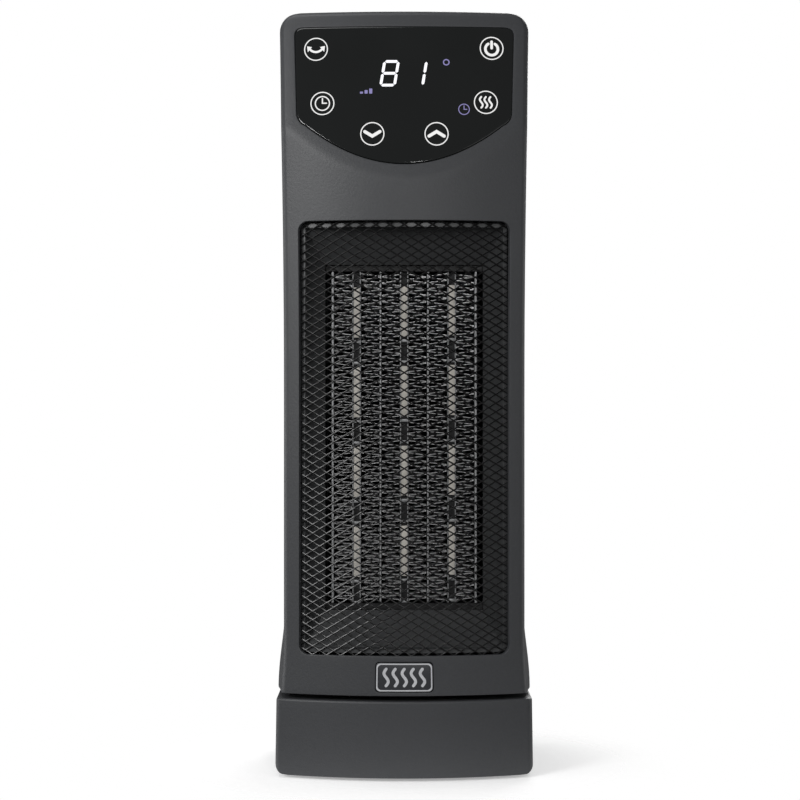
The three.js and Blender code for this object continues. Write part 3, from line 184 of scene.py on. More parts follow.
class Finish:
    """Builds one node tree: a material's, or the world's."""

    def __init__(self, owner):
        owner.use_nodes = True
        self.owner, self.tree = owner, owner.node_tree
        self.tree.nodes.clear()

    def node(self, kind, settings=None, *values, out=0, **named):
        """Adds a node, with its settings first, and gives one of its outputs."""
        node = self.tree.nodes.new(kind)
        for key, value in (settings or {}).items():
            setattr(node, key, value)
        pairs = list(enumerate(values)) + [(key.replace("_", " "), value) for key, value in named.items()]
        for key, value in pairs:
            if isinstance(value, Wire):
                self.tree.links.new(value.socket, node.inputs[key])
            elif value is not None:
                node.inputs[key].default_value = value
        return Wire(self, node.outputs[out]) if len(node.outputs) else None

    def place(self):
        """Object coordinates, in metres."""
        return self.node("ShaderNodeTexCoord", out=OBJECT_PLACE)

    def stretched(self, x, y, z):
        """Object coordinates with each axis scaled, for a pattern that is longer one way."""
        return self.node("ShaderNodeVectorMath", {"operation": "MULTIPLY"}, self.place(), (x, y, z))

    def noise(self, size, detail=2.0, at=None):
        """Noise about one half, with features of the given size."""
        return self.node("ShaderNodeTexNoise", None, at or self.place(), Scale=1 / size, Detail=detail)

    def shade(self, dark, light, amount):
        """A colour between two, by an amount from 0 to 1."""
        mix = self.node("ShaderNodeMix", {"data_type": "RGBA"}, amount, out=MIXED_COLOUR)
        sockets = mix.socket.node.inputs
        sockets[COLOUR_A].default_value = (*dark, 1.0)
        sockets[COLOUR_B].default_value = (*light, 1.0)
        return mix

    def bumped(self, height, depth, strength=1.0):
        """A normal from a height between 0 and 1."""
        return self.node("ShaderNodeBump", None, Strength=strength, Distance=depth, Height=height)

    def surface(self, **sockets):
        """The principled shader and the output."""
        shader = self.node("ShaderNodeBsdfPrincipled", None, **sockets)
        self.node("ShaderNodeOutputMaterial", None, shader)
        return self.owner


def scaled(rgb, factor):
    return tuple(min(1.0, channel * factor) for channel in rgb)


def finish(name):
    return Finish(bpy.data.materials.new(name))


def moulded(name, rgb, grain=0.00042, depth=0.00006, rough=0.47, speckle=0.22):
    """Moulded plastic: a spark-eroded grain, faint flow clouds and a roughness that follows the grain."""
    f = finish(name)
    fine = f.noise(grain, 3.0)
    cloud = f.noise(0.05, 3.0)
    coarse = f.noise(0.0013, 4.0)
    tone = fine * 0.4 + coarse * 0.4 + cloud * 0.2
    base = f.shade(scaled(rgb, 1 - speckle), scaled(rgb, 1 + speckle), tone)
    normal = f.bumped(fine * 0.45 + coarse * 0.55, depth)
    return f.surface(Base_Color=base, Roughness=rough - 0.06 + fine * 0.12, Normal=normal)


def polished_panel():
    """Black lens of the touch panel, with the faintest waviness."""
    f = finish("polished_panel")
    rgb = tuple(colours().panel)
    wave = f.noise(0.03, 1.0)
    base = f.shade(scaled(rgb, 0.9), scaled(rgb, 1.15), wave)
    normal = f.bumped(wave, 0.00008, 0.3)
    return f.surface(Base_Color=base, Roughness=0.09 + wave * 0.05, Normal=normal, Coat_Weight=0.25)


def lit(name, rgb, strength):
    """Light through the panel, a little uneven from place to place."""
    f = finish(name)
    glow = f.shade(scaled(rgb, 0.86), rgb, f.noise(0.0025, 1.0))
    return f.surface(Base_Color=(0.02, 0.02, 0.02, 1), Emission_Color=glow, Emission_Strength=strength, Roughness=0.3)


def rolled_metal(name, rgb, rough=0.3, along=(1, 1, 1), depth=0.00001, metallic=1.0):
    """Rolled or plated metal, with fine lines along the way it was worked."""
    f = finish(name)
    lines = f.noise(0.0009, 3.0, f.stretched(*along))
    stains = f.noise(0.012, 2.0)
    base = f.shade(scaled(rgb, 0.8), scaled(rgb, 1.1), lines * 0.6 + stains * 0.4)
    rough_map = rough - 0.08 + lines * 0.1 + stains * 0.1
    return f.surface(Base_Color=base, Metallic=metallic, Roughness=rough_map, Normal=f.bumped(lines, depth))


def painted_metal(name, rgb):
    """Black stoved paint on the expanded metal, with a faint orange peel."""
    f = finish(name)
    peel = f.noise(0.0009, 2.0)
    base = f.shade(scaled(rgb, 0.8), scaled(rgb, 1.3), peel)
    normal = f.bumped(peel, 0.00002)
    return f.surface(Base_Color=base, Roughness=0.24 + peel * 0.1, Specular_IOR_Level=0.38, Normal=normal)


def fired_ceramic():
    """Unglazed stones: pale, chalky and flecked."""
    f = finish("fired_ceramic")
    rgb = tuple(colours().stone)
    cloud = f.noise(0.009, 4.0)
    fleck = f.noise(0.0005, 2.0)
    base = f.shade(scaled(rgb, 0.72), scaled(rgb, 1.12), cloud * 0.6 + fleck * 0.4)
    return f.surface(Base_Color=base, Roughness=0.7 + fleck * 0.2, Normal=f.bumped(fleck, 0.00005))


def soft_rubber():
    """Matt rubber with a dusty bloom."""
    f = finish("soft_rubber")
    bloom = f.noise(0.004, 4.0)
    base = f.shade((0.012, 0.012, 0.012), (0.03, 0.03, 0.03), bloom)
    return f.surface(Base_Color=base, Roughness=0.75 + bloom * 0.15, Normal=f.bumped(f.noise(0.0004), 0.00003))


def circuit_board():
    """Green solder resist over paler tracks."""
    f = finish("circuit_board")
    cells = f.node(
        "ShaderNodeTexVoronoi", {"feature": "DISTANCE_TO_EDGE", "distance": "CHEBYCHEV"}, f.place(), Scale=220.0
    )
    track = 1 - (cells > 0.09)
    base = f.shade((0.008, 0.05, 0.018), (0.02, 0.13, 0.04), track)
    return f.surface(Base_Color=base, Roughness=0.25 + track * 0.1, Normal=f.bumped(track, 0.00004))


def woven_filter():
    """Black filter net: a square weave seen as raised threads."""
    f = finish("woven_filter")
    place = f.place()
    warp = f.node("ShaderNodeTexWave", {"bands_direction": "X"}, place, Scale=160.0)
    weft = f.node("ShaderNodeTexWave", {"bands_direction": "Z"}, place, Scale=160.0)
    thread = warp.maths("MAXIMUM", warp, weft)
    base = f.shade((0.002, 0.002, 0.002), (0.03, 0.03, 0.032), thread)
    return f.surface(Base_Color=base, Roughness=0.6, Normal=f.bumped(thread, 0.0002))


FINISHES = {}


def the(name):
    """A finish by name, made once."""
    if name not in FINISHES:
        c = colours()
        makers = {
            "housing": lambda: moulded("charcoal_plastic", tuple(c.housing), depth=0.00014, speckle=0.3),
            "black": lambda: moulded("black_plastic", tuple(c.black), 0.0005, 0.00003, 0.5),
            # the duct's black plastic is given a lighter grey: a painted sheen for the funnel walls that catch the
            # light
            "duct": lambda: moulded("duct_plastic_painted_sheen", (0.06, 0.062, 0.064), 0.0008, 0.00004, 0.36),
            "panel": polished_panel,
            "print": lambda: lit("key_light_print", tuple(c.print_white), 1.0),
            "glow": lambda: lit("digit_light", tuple(c.glow), 1.25),
            "violet": lambda: lit("symbol_light", tuple(c.violet), 0.8),
            "fin": lambda: rolled_metal("fin_aluminium", tuple(c.fin), 0.3, (1, 0.1, 1), 0.00001, 0.3),
            "plate": lambda: rolled_metal(
                "plate_aluminium", scaled(tuple(c.metal), 0.62), 0.46, (1, 1, 0.05), 0.00001, 0.7
            ),
            "zinc": lambda: rolled_metal("zinc_plate", (0.56, 0.57, 0.58), 0.34),
            "badge": lambda: moulded("badge_plate", (0.035, 0.037, 0.042), 0.0004, 0.00001, 0.35, 0.1),
            "badge_mark": lambda: rolled_metal("badge_mark", (0.8, 0.81, 0.84), 0.34, (0.05, 1, 1), 0.00001, 0.4),
            "brass": lambda: rolled_metal("sintered_brass", (0.55, 0.38, 0.14), 0.4),
            "grille": lambda: painted_metal("grille_paint", (0.005, 0.005, 0.0053)),
            "ceramic": fired_ceramic,
            "rubber": soft_rubber,
            "board": circuit_board,
            "acetal": lambda: moulded("natural_acetal", (0.7, 0.7, 0.66), 0.001, 0.00001, 0.35, 0.04),
            "filter": woven_filter,
        }
        FINISHES[name] = makers[name]()
    return FINISHES[name]


# ------------------------------------------------------------------ mesh helpers


def piece(name, bm, body, finish_name, replaces=(), smooth=34, weighted=False):
    """Turns a bmesh into a finished piece that rides on a body."""
    bmesh.ops.recalc_face_normals(bm, faces=bm.faces[:])
    mesh = bpy.data.meshes.new(name)
    bm.to_mesh(mesh)
    bm.free()
    mesh.materials.append(the(finish_name))
    mesh.shade_smooth()
    mesh.set_sharp_from_angle(angle=math.radians(smooth))
    thing = bpy.data.objects.new(name, mesh)
    bpy.context.scene.collection.objects.link(thing)
    if weighted:
        modifier = thing.modifiers.new("Even shading", "WEIGHTED_NORMAL")
        modifier.keep_sharp = True
        modifier.weight = 90
    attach(thing, body)
    if replaces:
        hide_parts(*replaces)
    return thing


def loop(bm, points):
    """A closed loop of edges through points in the XY plane."""
    verts = [bm.verts.new((x, y, 0)) for x, y in points]
    return [bm.edges.new(pair) for pair in zip(verts, verts[1:] + verts[:1])]


def flat(outline, *holes):
    """A flat sheet in the XY plane with holes in it."""
    bm = bmesh.new()
    edges = loop(bm, outline)
    for hole in holes:
        edges += loop(bm, hole)
    bmesh.ops.triangle_fill(bm, use_beauty=True, edges=edges)
    return bm


def thicken(bm, depth):
    """Gives a flat sheet its thickness along Z."""
    grown = bmesh.ops.extrude_face_region(bm, geom=bm.faces[:])["geom"]
    bmesh.ops.translate(bm, verts=verts_in(grown), vec=(0, 0, depth))
    bmesh.ops.recalc_face_normals(bm, faces=bm.faces[:])
    bmesh.ops.dissolve_limit(bm, angle_limit=SAME_PLANE, verts=bm.verts[:], edges=bm.edges[:])


def soften(bm, edges, offset, segments=2):
    """Rounds edges over."""
    shape = {"affect": "EDGES", "profile": 0.5, "material": -1, "clamp_overlap": True}
    bmesh.ops.bevel(bm, geom=edges, offset=offset, segments=segments, **shape)


def verts_in(geom):
    """The vertices among what an operator gave back."""
    return [item for item in geom if isinstance(item, bmesh.types.BMVert)]


def everything(bm):
    """All of a mesh, as an operator takes it."""
    return bm.verts[:] + bm.edges[:] + bm.faces[:]


def join(bm, part):
    """Adds one mesh to another and marks the whole as placed."""
    mesh = bpy.data.meshes.new("joined")
    part.to_mesh(mesh)
    part.free()
    bm.from_mesh(mesh)
    bpy.data.meshes.remove(mesh)
    placed(bm)


def placed(bm):
    """Marks what is in its place, so that the next turned shape leaves it alone."""
    for v in bm.verts:
        v.tag = True


def rim_edges(bm, chosen=lambda edge: True):
    """Edges between the face at height 0 and the walls beside it."""
    return [
        e
        for e in bm.edges
        if all(abs(v.co.z) < TOUCHING for v in e.verts)
        and len(e.link_faces) == 2
        and e.calc_face_angle() > 1
        and chosen(e)
    ]


def slices(low, high, step):
    """Even places between two limits."""
    count = max(1, round((high - low) / step))
    return [low + (high - low) * i / count for i in range(1, count)]


def slice_at(bm, axis, places):
    """Cuts lines across a pattern so that it can bend."""
    normal = Vector((0, 0, 0))
    normal[axis] = 1
    for place in sorted(places):
        spanning = [f for f in bm.faces if spans(f, axis, place)]
        edges = {e for f in spanning for e in f.edges}
        verts = {v for f in spanning for v in f.verts}
        geom = list(verts) + list(edges) + spanning
        bmesh.ops.bisect_plane(bm, geom=geom, dist=TOUCHING, plane_co=normal * place, plane_no=normal)


def spans(face, axis, place):
    near = [v.co[axis] for v in face.verts]
    return min(near) < place < max(near)


def rounded(x0, x1, y0, y1, radius, steps=6):
    """Points of a rectangle with round corners."""
    corners = ((x1, y0, -90), (x1, y1, 0), (x0, y1, 90), (x0, y0, 180))
    points = []
    for x, y, start in corners:
        cx = x - math.copysign(radius, x - (x0 + x1) / 2)
        cy = y - math.copysign(radius, y - (y0 + y1) / 2)
        for i in range(steps + 1):
            angle = math.radians(start + 90 * i / steps)
            points.append((cx + radius * math.cos(angle), cy + radius * math.sin(angle)))
    return points


def circle(x, y, radius, steps=24):
    """Points of a circle."""
    turns = [2 * math.pi * i / steps for i in range(steps)]
    return [(x + radius * math.cos(a), y + radius * math.sin(a)) for a in turns]


def bend(bm, place):
    """Moves every point of a pattern to its place, then closes the poles."""
    for v in bm.verts:
        v.co = place(*v.co)
    bmesh.ops.remove_doubles(bm, verts=bm.verts[:], dist=4e-6)
    bmesh.ops.dissolve_degenerate(bm, edges=bm.edges[:], dist=1e-6)


def brick(bm, low, high, soft=0.0, segments=2, tilt=0.0):
    """A box between two corners, tilted about its own length and with soft edges."""
    low, high = Vector(low), Vector(high)
    made = bmesh.ops.create_cube(bm, size=1)["verts"]
    size = high - low
    bmesh.ops.scale(bm, vec=size, verts=made)
    bmesh.ops.rotate(bm, verts=made, cent=(0, 0, 0), matrix=Matrix.Rotation(tilt, 3, "X"))
    bmesh.ops.translate(bm, vec=(low + high) / 2, verts=made)
    if soft:
        soften(bm, list({e for v in made for e in v.link_edges}), soft, segments)


def turned(bm, profile, centre=(0, 0, 0), axis="Z", steps=48):
    """Spins a profile of (radius, height) points about an axis, and marks it as placed."""
    verts = [bm.verts.new((r, 0, h)) for r, h in profile]
    edges = [bm.edges.new(pair) for pair in zip(verts, verts[1:])]
    full = {"cent": (0, 0, 0), "axis": (0, 0, 1), "angle": 2 * math.pi, "use_merge": True}
    bmesh.ops.spin(bm, geom=verts + edges, steps=steps, **full)
    bmesh.ops.remove_doubles(bm, verts=[v for v in bm.verts if not v.tag], dist=2e-6)
    made = [v for v in bm.verts if not v.tag]
    if axis == "Y":
        bmesh.ops.rotate(bm, verts=made, cent=(0, 0, 0), matrix=Matrix.Rotation(-math.pi / 2, 3, "X"))
    bmesh.ops.translate(bm, verts=made, vec=centre)
    placed(bm)


# ------------------------------------------------------------------ the housing's form


def clamp(value):
    """A value held between 0 and 1."""
    return max(0.0, min(1.0, value))


def ease(value):
    """A share that starts and stops gently."""
    value = clamp(value)
    return value * value * (3 - 2 * value)


def sag(x, radius):
    """How far an arc has fallen away at x."""
    return x * x / (2 * radius)


def blend_max(a, b, soft):
    """The larger of two, with a soft turn between them."""
    h = clamp(0.5 + (a - b) / (2 * soft))
    return b + (a - b) * h + soft * h * (1 - h)


def head_flare(z):
    """How much the head has widened at height z."""
    grown, rise = 3.1 * MM, 200 * MM
    return grown * clamp(1 - (TOP_Z - z) / rise) ** 2


def front_half(z):
    """Half width of the front at height z, a little wider at its foot."""
    grown, rise = 1.5 * MM, 32 * MM
    return sizes().waist + grown * clamp(1 - (z - BOTTOM_Z) / rise) ** 2 + head_flare(z)


def rear_half(z):
    """Half width of the rear at height z, flared at its foot."""
    grown, rise = 4.2 * MM, 50 * MM
    return sizes().waist + grown * ease(1 - (z - BOTTOM_Z) / rise) + head_flare(z)


def rounding(z, radius, top=TOP_Z):
    """How far an edge rounded at the top has come in at height z."""
    up = clamp((z - top + radius) / radius)
    return radius * (1 - math.sqrt(max(0.0, 1 - up * up)))


SETTLING = 8  # rounds in which the face's width and its slope at the edge agree


class Plan:
    """The plan of a convex face, its rounded edges and straight sides, measured along its surface."""

    def __init__(self, half, radius, edge):
        self.half, self.radius, self.edge = half, radius, edge
        self.face, self.start = half - edge, 0.0
        for _ in range(SETTLING):
            self.start = math.atan(self.face / radius) if radius else 0.0
            self.face = half - edge + edge * math.sin(self.start)
        self.arc = edge * (math.pi / 2 - self.start)
        drop = sag(self.face, radius) if radius else 0.0
        self.turn = drop + edge * math.cos(self.start)

    def at(self, u):
        """(across, back, normal across, normal back) at a distance along the surface from its middle."""
        side, u = math.copysign(1, u), abs(u)
        if u <= self.face:
            slope = math.atan(u / self.radius) if self.radius else 0.0
            return side * u, sag(u, self.radius) if self.radius else 0.0, side * math.sin(slope), -math.cos(slope)
        if u <= self.face + self.arc:
            angle = self.start + (u - self.face) / self.edge
            across = self.half - self.edge + self.edge * math.sin(angle)
            return side * across, self.turn - self.edge * math.cos(angle), side * math.sin(angle), -math.cos(angle)
        return side * self.half, self.turn + u - self.face - self.arc, side, 0.0

    def length_to(self, back):
        """Distance along the surface from the middle to a point on the side."""
        return self.face + self.arc + back - self.turn


def cap_point(edge_point, height, depth, pole_y):
    """Where the pattern past the top edge lies on the flat top."""
    share = clamp((height - TOP_Z) / CAP)
    flat_point = Vector((edge_point.x, edge_point.y, TOP_Z - depth))
    return flat_point.lerp(Vector((0, pole_y, TOP_Z - depth)), share)


def front_skin():
    """Gives a function that puts the front pattern (along, height, depth) in place."""
    s = sizes()
    plan = Plan(s.waist, s.front_radius, s.front_edge)
    crease = TOP_Z - s.head_rise
    lean = math.tan(s.head_tilt)
    crease_soft, top_turn, seam = 0.5 * MM, 15 * MM, SPLIT_Y - 0.3 * MM

    def face_y(x, z):
        upright = sag(x, s.front_radius)
        leaning = sag(x, s.head_radius) + lean * (z - crease)
        return blend_max(upright, leaning, crease_soft)

    def place(u, v, w):
        z = min(v, TOP_Z)
        across, back, nx, ny = plan.at(u)
        deep = SPLIT_Y - FRONT_Y
        aside = clamp((back - plan.turn) / (deep - plan.turn))
        half = front_half(z) + (rear_half(z) - front_half(z)) * ease(aside)
        wide = (half - rounding(z, s.top_corner)) / s.waist
        edge_x = min(abs(across), plan.face)
        leant = face_y(edge_x, z) - sag(edge_x, s.front_radius) + rounding(z, s.top_edge)
        y = FRONT_Y + back + leant * (1 - aside)
        inward = Vector((nx, ny, 0)) * w
        height = z - w * ease((z - TOP_Z + top_turn) / top_turn)
        point = Vector((across * wide, y, height)) - inward
        point.y = min(point.y, seam)
        return cap_point(point, v, w, seam) if v > TOP_Z else point

    return plan, place


def rear_back(z):
    """How far back the rear reaches at height z."""
    tall, deep, roundness = 95 * MM, 44 * MM, 2.3
    rise = clamp((z - TOP_Z + tall) / tall)
    return REAR_Y - deep * (1 - math.sqrt(max(0.0, 1 - rise**roundness)))


def rear_skin():
    """Gives a function that puts the rear pattern (along, height, depth) in place."""
    s = sizes()
    plan = Plan(s.waist, 0.0, s.rear_edge)
    top_turn = 30 * MM
    steady = 0.92 * plan.face  # half width that the flare leaves alone
    widening = plan.face - steady + 0.8 * plan.arc

    def place(u, v, w):
        z = min(v, TOP_Z)
        across, forward, nx, ny = plan.at(u)
        grown = rear_half(z) - s.waist
        share = ease((abs(u) - steady) / widening)
        across += math.copysign(grown * share, across)
        across *= 1 - rounding(z, s.top_corner) / rear_half(z)
        reach = (rear_back(z) - SPLIT_Y) / (REAR_Y - SPLIT_Y)
        y = SPLIT_Y + (REAR_Y - forward - SPLIT_Y) * reach
        inward = Vector((nx, -ny, 0)) * w
        height = z - w * ease((z - TOP_Z + top_turn) / top_turn)
        point = Vector((across, y, height)) - inward
        point.y = max(point.y, SPLIT_Y)
        return cap_point(point, v, w, SPLIT_Y) if v > TOP_Z else point

    return plan, place


# ------------------------------------------------------------------ operators


def panel_outline(spread=0.0):
    """Points of the touch panel's outline on the head: flat top, lower edge sagging to the middle."""
    s = sizes()
    top, shoulder, bottom = 84.16 * MM, 35.92 * MM, 7.92 * MM
    half_top, half_low, corner = 57.4 * MM, 55.9 * MM, 4.5 * MM
    turn, tuck, turn_steps, curve_steps = 6 * MM, 1 * MM, 4, 40
    low_corner = shoulder - turn
    start, end = (-half_low + corner, low_corner), (half_low - corner, low_corner)
    points = curve((-half_low, shoulder), (-half_low + tuck, shoulder - corner), start, turn_steps)
    points += curve(start, (0, 2 * bottom - low_corner), end, curve_steps)
    points += curve(end, (half_low - tuck, shoulder - corner), (half_low, shoulder), turn_steps)
    points += [(half_low, shoulder)]
    inner, side = half_top - corner, top - corner
    points += curve((half_top, side), (half_top, top), (inner, top), 6) + [(inner, top)]
    points += curve((-inner, top), (-half_top, top), (-half_top, side), 6) + [(-half_top, side)]
    middle = (top + bottom) / 2
    wider, taller = 1 + spread / half_top, 1 + spread / (top - middle)
    crease = TOP_Z - s.head_rise
    upright, back = math.cos(s.head_tilt), math.sin(s.head_tilt)
    grown = [(x * wider, middle + (v - middle) * taller) for x, v in points]
    return [(x, crease - sag(x, s.head_radius) * back + v * upright) for x, v in grown]


def curve(start, control, end, steps):
    """Points of a quadratic curve, without its end point."""
    a, b, c = Vector(start), Vector(control), Vector(end)
    shares = [i / steps for i in range(steps)]
    return [tuple(a * (1 - t) ** 2 + b * 2 * t * (1 - t) + c * t * t) for t in shares]


def around(low, high, gap, radius, steps):
    """Points of a round-cornered opening that clears a node's box as seen from behind."""
    return rounded(low.x - gap, high.x + gap, low.z - gap, high.z + gap, radius, steps)


def badge_outline(spread=0.0):
    """Points of the badge's outline below the window."""
    half, rise = 14.5 * MM + spread, 7.5 * MM + spread
    return rounded(-half, half, BADGE_Z - rise, BADGE_Z + rise, 2 * MM)


def shell_outline(reach):
    """Points round a shell's pattern, from its foot to the pole of its flat top."""
    return [(-reach, BOTTOM_Z), (reach, BOTTOM_Z), (reach, TOP_Z + CAP), (-reach, TOP_Z + CAP)]


def across_slices(plan, reach, step, bends):
    """Places across a shell's pattern: its face, its rounded edges and its sides."""
    edge = [plan.face + plan.arc * i / bends for i in range(bends + 1)]
    side = [reach - (reach - plan.face - plan.arc) * i / 4 for i in (1, 2, 3)]
    return slices(-plan.face, plan.face, step) + edge + side + [-u for u in edge + side]


def foot_edge(e):
    """True for the edge along a shell's foot."""
    return all(v.co.y < BOTTOM_Z + MM / 1000 for v in e.verts)


def top_slices(radius):
    """Heights that follow a rounded top edge and the flat top."""
    bends = [TOP_Z - radius * (1 - math.sin(math.radians(i * 10))) for i in range(10)]
    return bends + [TOP_Z + CAP * i / 4 for i in range(1, 4)]


class HEATER_OT_front_shell(bpy.types.Operator):
    """Front shell: head bezel, window frame and the sides back to the split"""

    bl_idname = "heater.front_shell"
    bl_label = "Front shell"

    def execute(self, context):
        s = sizes()
        plan, place = front_skin()
        reach = plan.length_to(SPLIT_Y - FRONT_Y)
        window = rounded(-WINDOW_HALF, WINDOW_HALF, WINDOW_LOW, WINDOW_HIGH, s.window_corner)
        fit = 0.25 * MM
        recess = [(x * s.waist / front_half(z), z) for x, z in panel_outline(fit)]
        bm = flat(shell_outline(reach), window, recess, badge_outline(fit))
        thicken(bm, s.wall)
        soften(bm, rim_edges(bm, lambda e: all(abs(v.co.x) < reach - MM and v.co.y < TOP_Z for v in e.verts)), s.lip)
        soften(bm, rim_edges(bm, foot_edge), FOOT_ROUND)
        crease = TOP_Z - s.head_rise
        slice_at(bm, 0, across_slices(plan, reach, 3.2 * MM, 6))
        slice_at(bm, 1, slices(BOTTOM_Z, BOTTOM_Z + FOOT_FLARE, 4 * MM))
        slice_at(bm, 1, slices(BOTTOM_Z + 60 * MM, crease, 22 * MM))
        slice_at(bm, 1, slices(crease - 3 * MM, crease + 30 * MM, 0.9 * MM))
        slice_at(bm, 1, slices(crease + 34 * MM, TOP_Z - s.top_corner, 6 * MM))
        slice_at(bm, 1, top_slices(s.top_corner) + [TOP_Z - s.top_edge * f for f in (0.75, 0.5, 0.3, 0.03)])
        bend(bm, place)
        piece("front_shell_skin", bm, "housing", "housing", ["front_shell"], weighted=True)
        return {"FINISHED"}


class HEATER_OT_rear_shell(bpy.types.Operator):
    """Rear shell: rounded back with the intake window, the handle pocket and the switch opening"""

    bl_idname = "heater.rear_shell"
    bl_label = "Rear shell"

    def execute(self, context):
        s = sizes()
        plan, place = rear_skin()
        reach = plan.length_to(REAR_Y - SPLIT_Y)
        intake = around(COVER_LOW, COVER_HIGH, 0.3 * MM, 6 * MM, 6)
        hand = (-38 * MM, 38 * MM, TOP_Z - 58 * MM, TOP_Z - 34 * MM)
        switch = around(*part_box("power_switch_case"), 0.2 * MM, 0.6 * MM, 2)
        wells = [circle(x, z, WELL_BORE, 16) for x, z in WELLS]
        bm = flat(shell_outline(reach), intake, rounded(*hand, HAND_CORNER, 8), switch, *wells)
        thicken(bm, s.wall)
        inside = lambda e: all(abs(v.co.x) < reach - MM and BOTTOM_Z + MM < v.co.y < TOP_Z for v in e.verts)
        soften(bm, rim_edges(bm, inside), s.lip)
        soften(bm, rim_edges(bm, foot_edge), FOOT_ROUND)
        slice_at(bm, 0, across_slices(plan, reach, 7.5 * MM, 10))
        slice_at(bm, 1, slices(BOTTOM_Z, BOTTOM_Z + FOOT_FLARE, 4 * MM))
        slice_at(bm, 1, slices(BOTTOM_Z + 60 * MM, TOP_Z - 100 * MM, 18 * MM))
        slice_at(bm, 1, slices(TOP_Z - 100 * MM, TOP_Z - s.top_corner, 3 * MM))
        slice_at(bm, 1, top_slices(s.top_corner))
        bend(bm, place)
        self.pocket(bm, hand, s.wall)
        post, start, end = 4.5 * MM, -11.7 * MM, REAR_Y - 3 * MM
        wall = [(WELL_BORE, 0), (post, 0), (post, end - start), (WELL_BORE, end - start), (WELL_BORE, 0)]
        for x, z in WELLS:
            turned(bm, wall, (x, start, z), "Y", 20)
        piece("rear_shell_skin", bm, "housing", "housing", ["rear_shell"], weighted=True)
        return {"FINISHED"}

    def pocket(self, bm, hand, wall):
        """A cup behind the hand opening, its rim following the sloping back."""
        x0, x1, z0, z1 = hand
        floor, hollow, lap = 29 * MM, 0.97, 1.2 * MM
        cup = flat(rounded(x0 - wall, x1 + wall, z0 - wall, z1 + wall, HAND_CORNER + wall, 8))
        thicken(cup, 1)
        mouth = [f for f in cup.faces if all(abs(v.co.z) < TOUCHING for v in f.verts)]
        bmesh.ops.inset_region(cup, faces=mouth, thickness=wall, use_even_offset=True)
        inner = bmesh.ops.extrude_discrete_faces(cup, faces=mouth)["faces"]
        bmesh.ops.translate(cup, verts=list({v for f in inner for v in f.verts}), vec=(0, 0, hollow))
        soften(cup, [e for f in inner for e in f.edges], 4 * MM, 5)
        for v in cup.verts:
            x, z, share = v.co
            mouth_y = rear_back(z) - lap
            v.co = (x, mouth_y + (floor - wall - mouth_y) * share, z)
        bmesh.ops.recalc_face_normals(cup, faces=cup.faces[:])
        join(bm, cup)


class HEATER_OT_base(bpy.types.Operator):
    """Base shell: a wider foot with rounded lower corners and an open bottom"""

    bl_idname = "heater.base_shell"
    bl_label = "Base shell"

    def execute(self, context):
        s = sizes()
        half, bottom, top = 66.6 * MM, BASE_LOW.z, BASE_HIGH.z
        spread, corner, edge = 0.6 * MM, 5 * MM, 1.1 * MM
        hub_radius, hub_reach, hub_drop = 16.3 * MM, 17 * MM, 4 * MM
        front = Plan(half, s.front_radius, s.front_edge)
        rear = Plan(half, 0.0, s.rear_edge)
        outline = []
        for plan, y, way in ((front, BASE_LOW.y, 1), (rear, REAR_Y, -1)):
            stops = slices(-plan.face, plan.face, 4 * MM)
            stops += [side * (plan.face + plan.arc * i / 8) for side in (-1, 1) for i in range(9)]
            for u in sorted(stops, reverse=way < 0):
                across, back, _, _ = plan.at(u)
                outline.append((across, y + way * back))
        bm = flat(outline, circle(0, 0, hub_radius, 48))
        edges = [e for e in bm.edges if e.is_boundary]
        rim = [e for e in edges if max(abs(c) for v in e.verts for c in v.co.xy) > hub_reach]
        hub = [e for e in edges if e not in rim]
        heights = [top - edge * (1 - math.cos(math.radians(a))) for a in (0, 30, 60, 90)]
        heights += [top - (top - bottom) * i / 8 for i in range(1, 7)]
        heights += [bottom + corner * (1 - math.cos(math.radians(a))) for a in (90, 75, 60, 45, 30, 18, 9, 0)]
        heights = sorted({round(h, 6) for h in heights}, reverse=True)
        bmesh.ops.translate(bm, verts=bm.verts[:], vec=(0, 0, top))
        for height in heights[1:]:
            grown = bmesh.ops.extrude_edge_only(bm, edges=rim)["geom"]
            rim = [item for item in grown if isinstance(item, bmesh.types.BMEdge)]
            for v in verts_in(grown):
                v.co.z = height
        lowered = bmesh.ops.extrude_edge_only(bm, edges=hub)["geom"]
        bmesh.ops.translate(bm, verts=verts_in(lowered), vec=(0, 0, -hub_drop))
        for v in bm.verts:
            if v.co.xy.length < hub_reach:
                continue
            z = v.co.z
            inset = rounding(z, edge, top)
            low = clamp((bottom + corner - z) / corner)
            limit = corner * (1 - math.sqrt(max(0.0, 1 - low * low)))
            wide = half + spread * (top - z) / (top - bottom) - inset
            share = abs(v.co.x) / half
            v.co.x = math.copysign(min(share * wide, wide - limit * share), v.co.x)
            v.co.y *= 1 - inset / abs(BASE_LOW.y)
        bmesh.ops.recalc_face_normals(bm, faces=bm.faces[:])
        bmesh.ops.solidify(bm, geom=bm.faces[:], thickness=s.wall)
        piece("base_shell_skin", bm, "base", "housing", ["base_shell"], weighted=True)
        return {"FINISHED"}


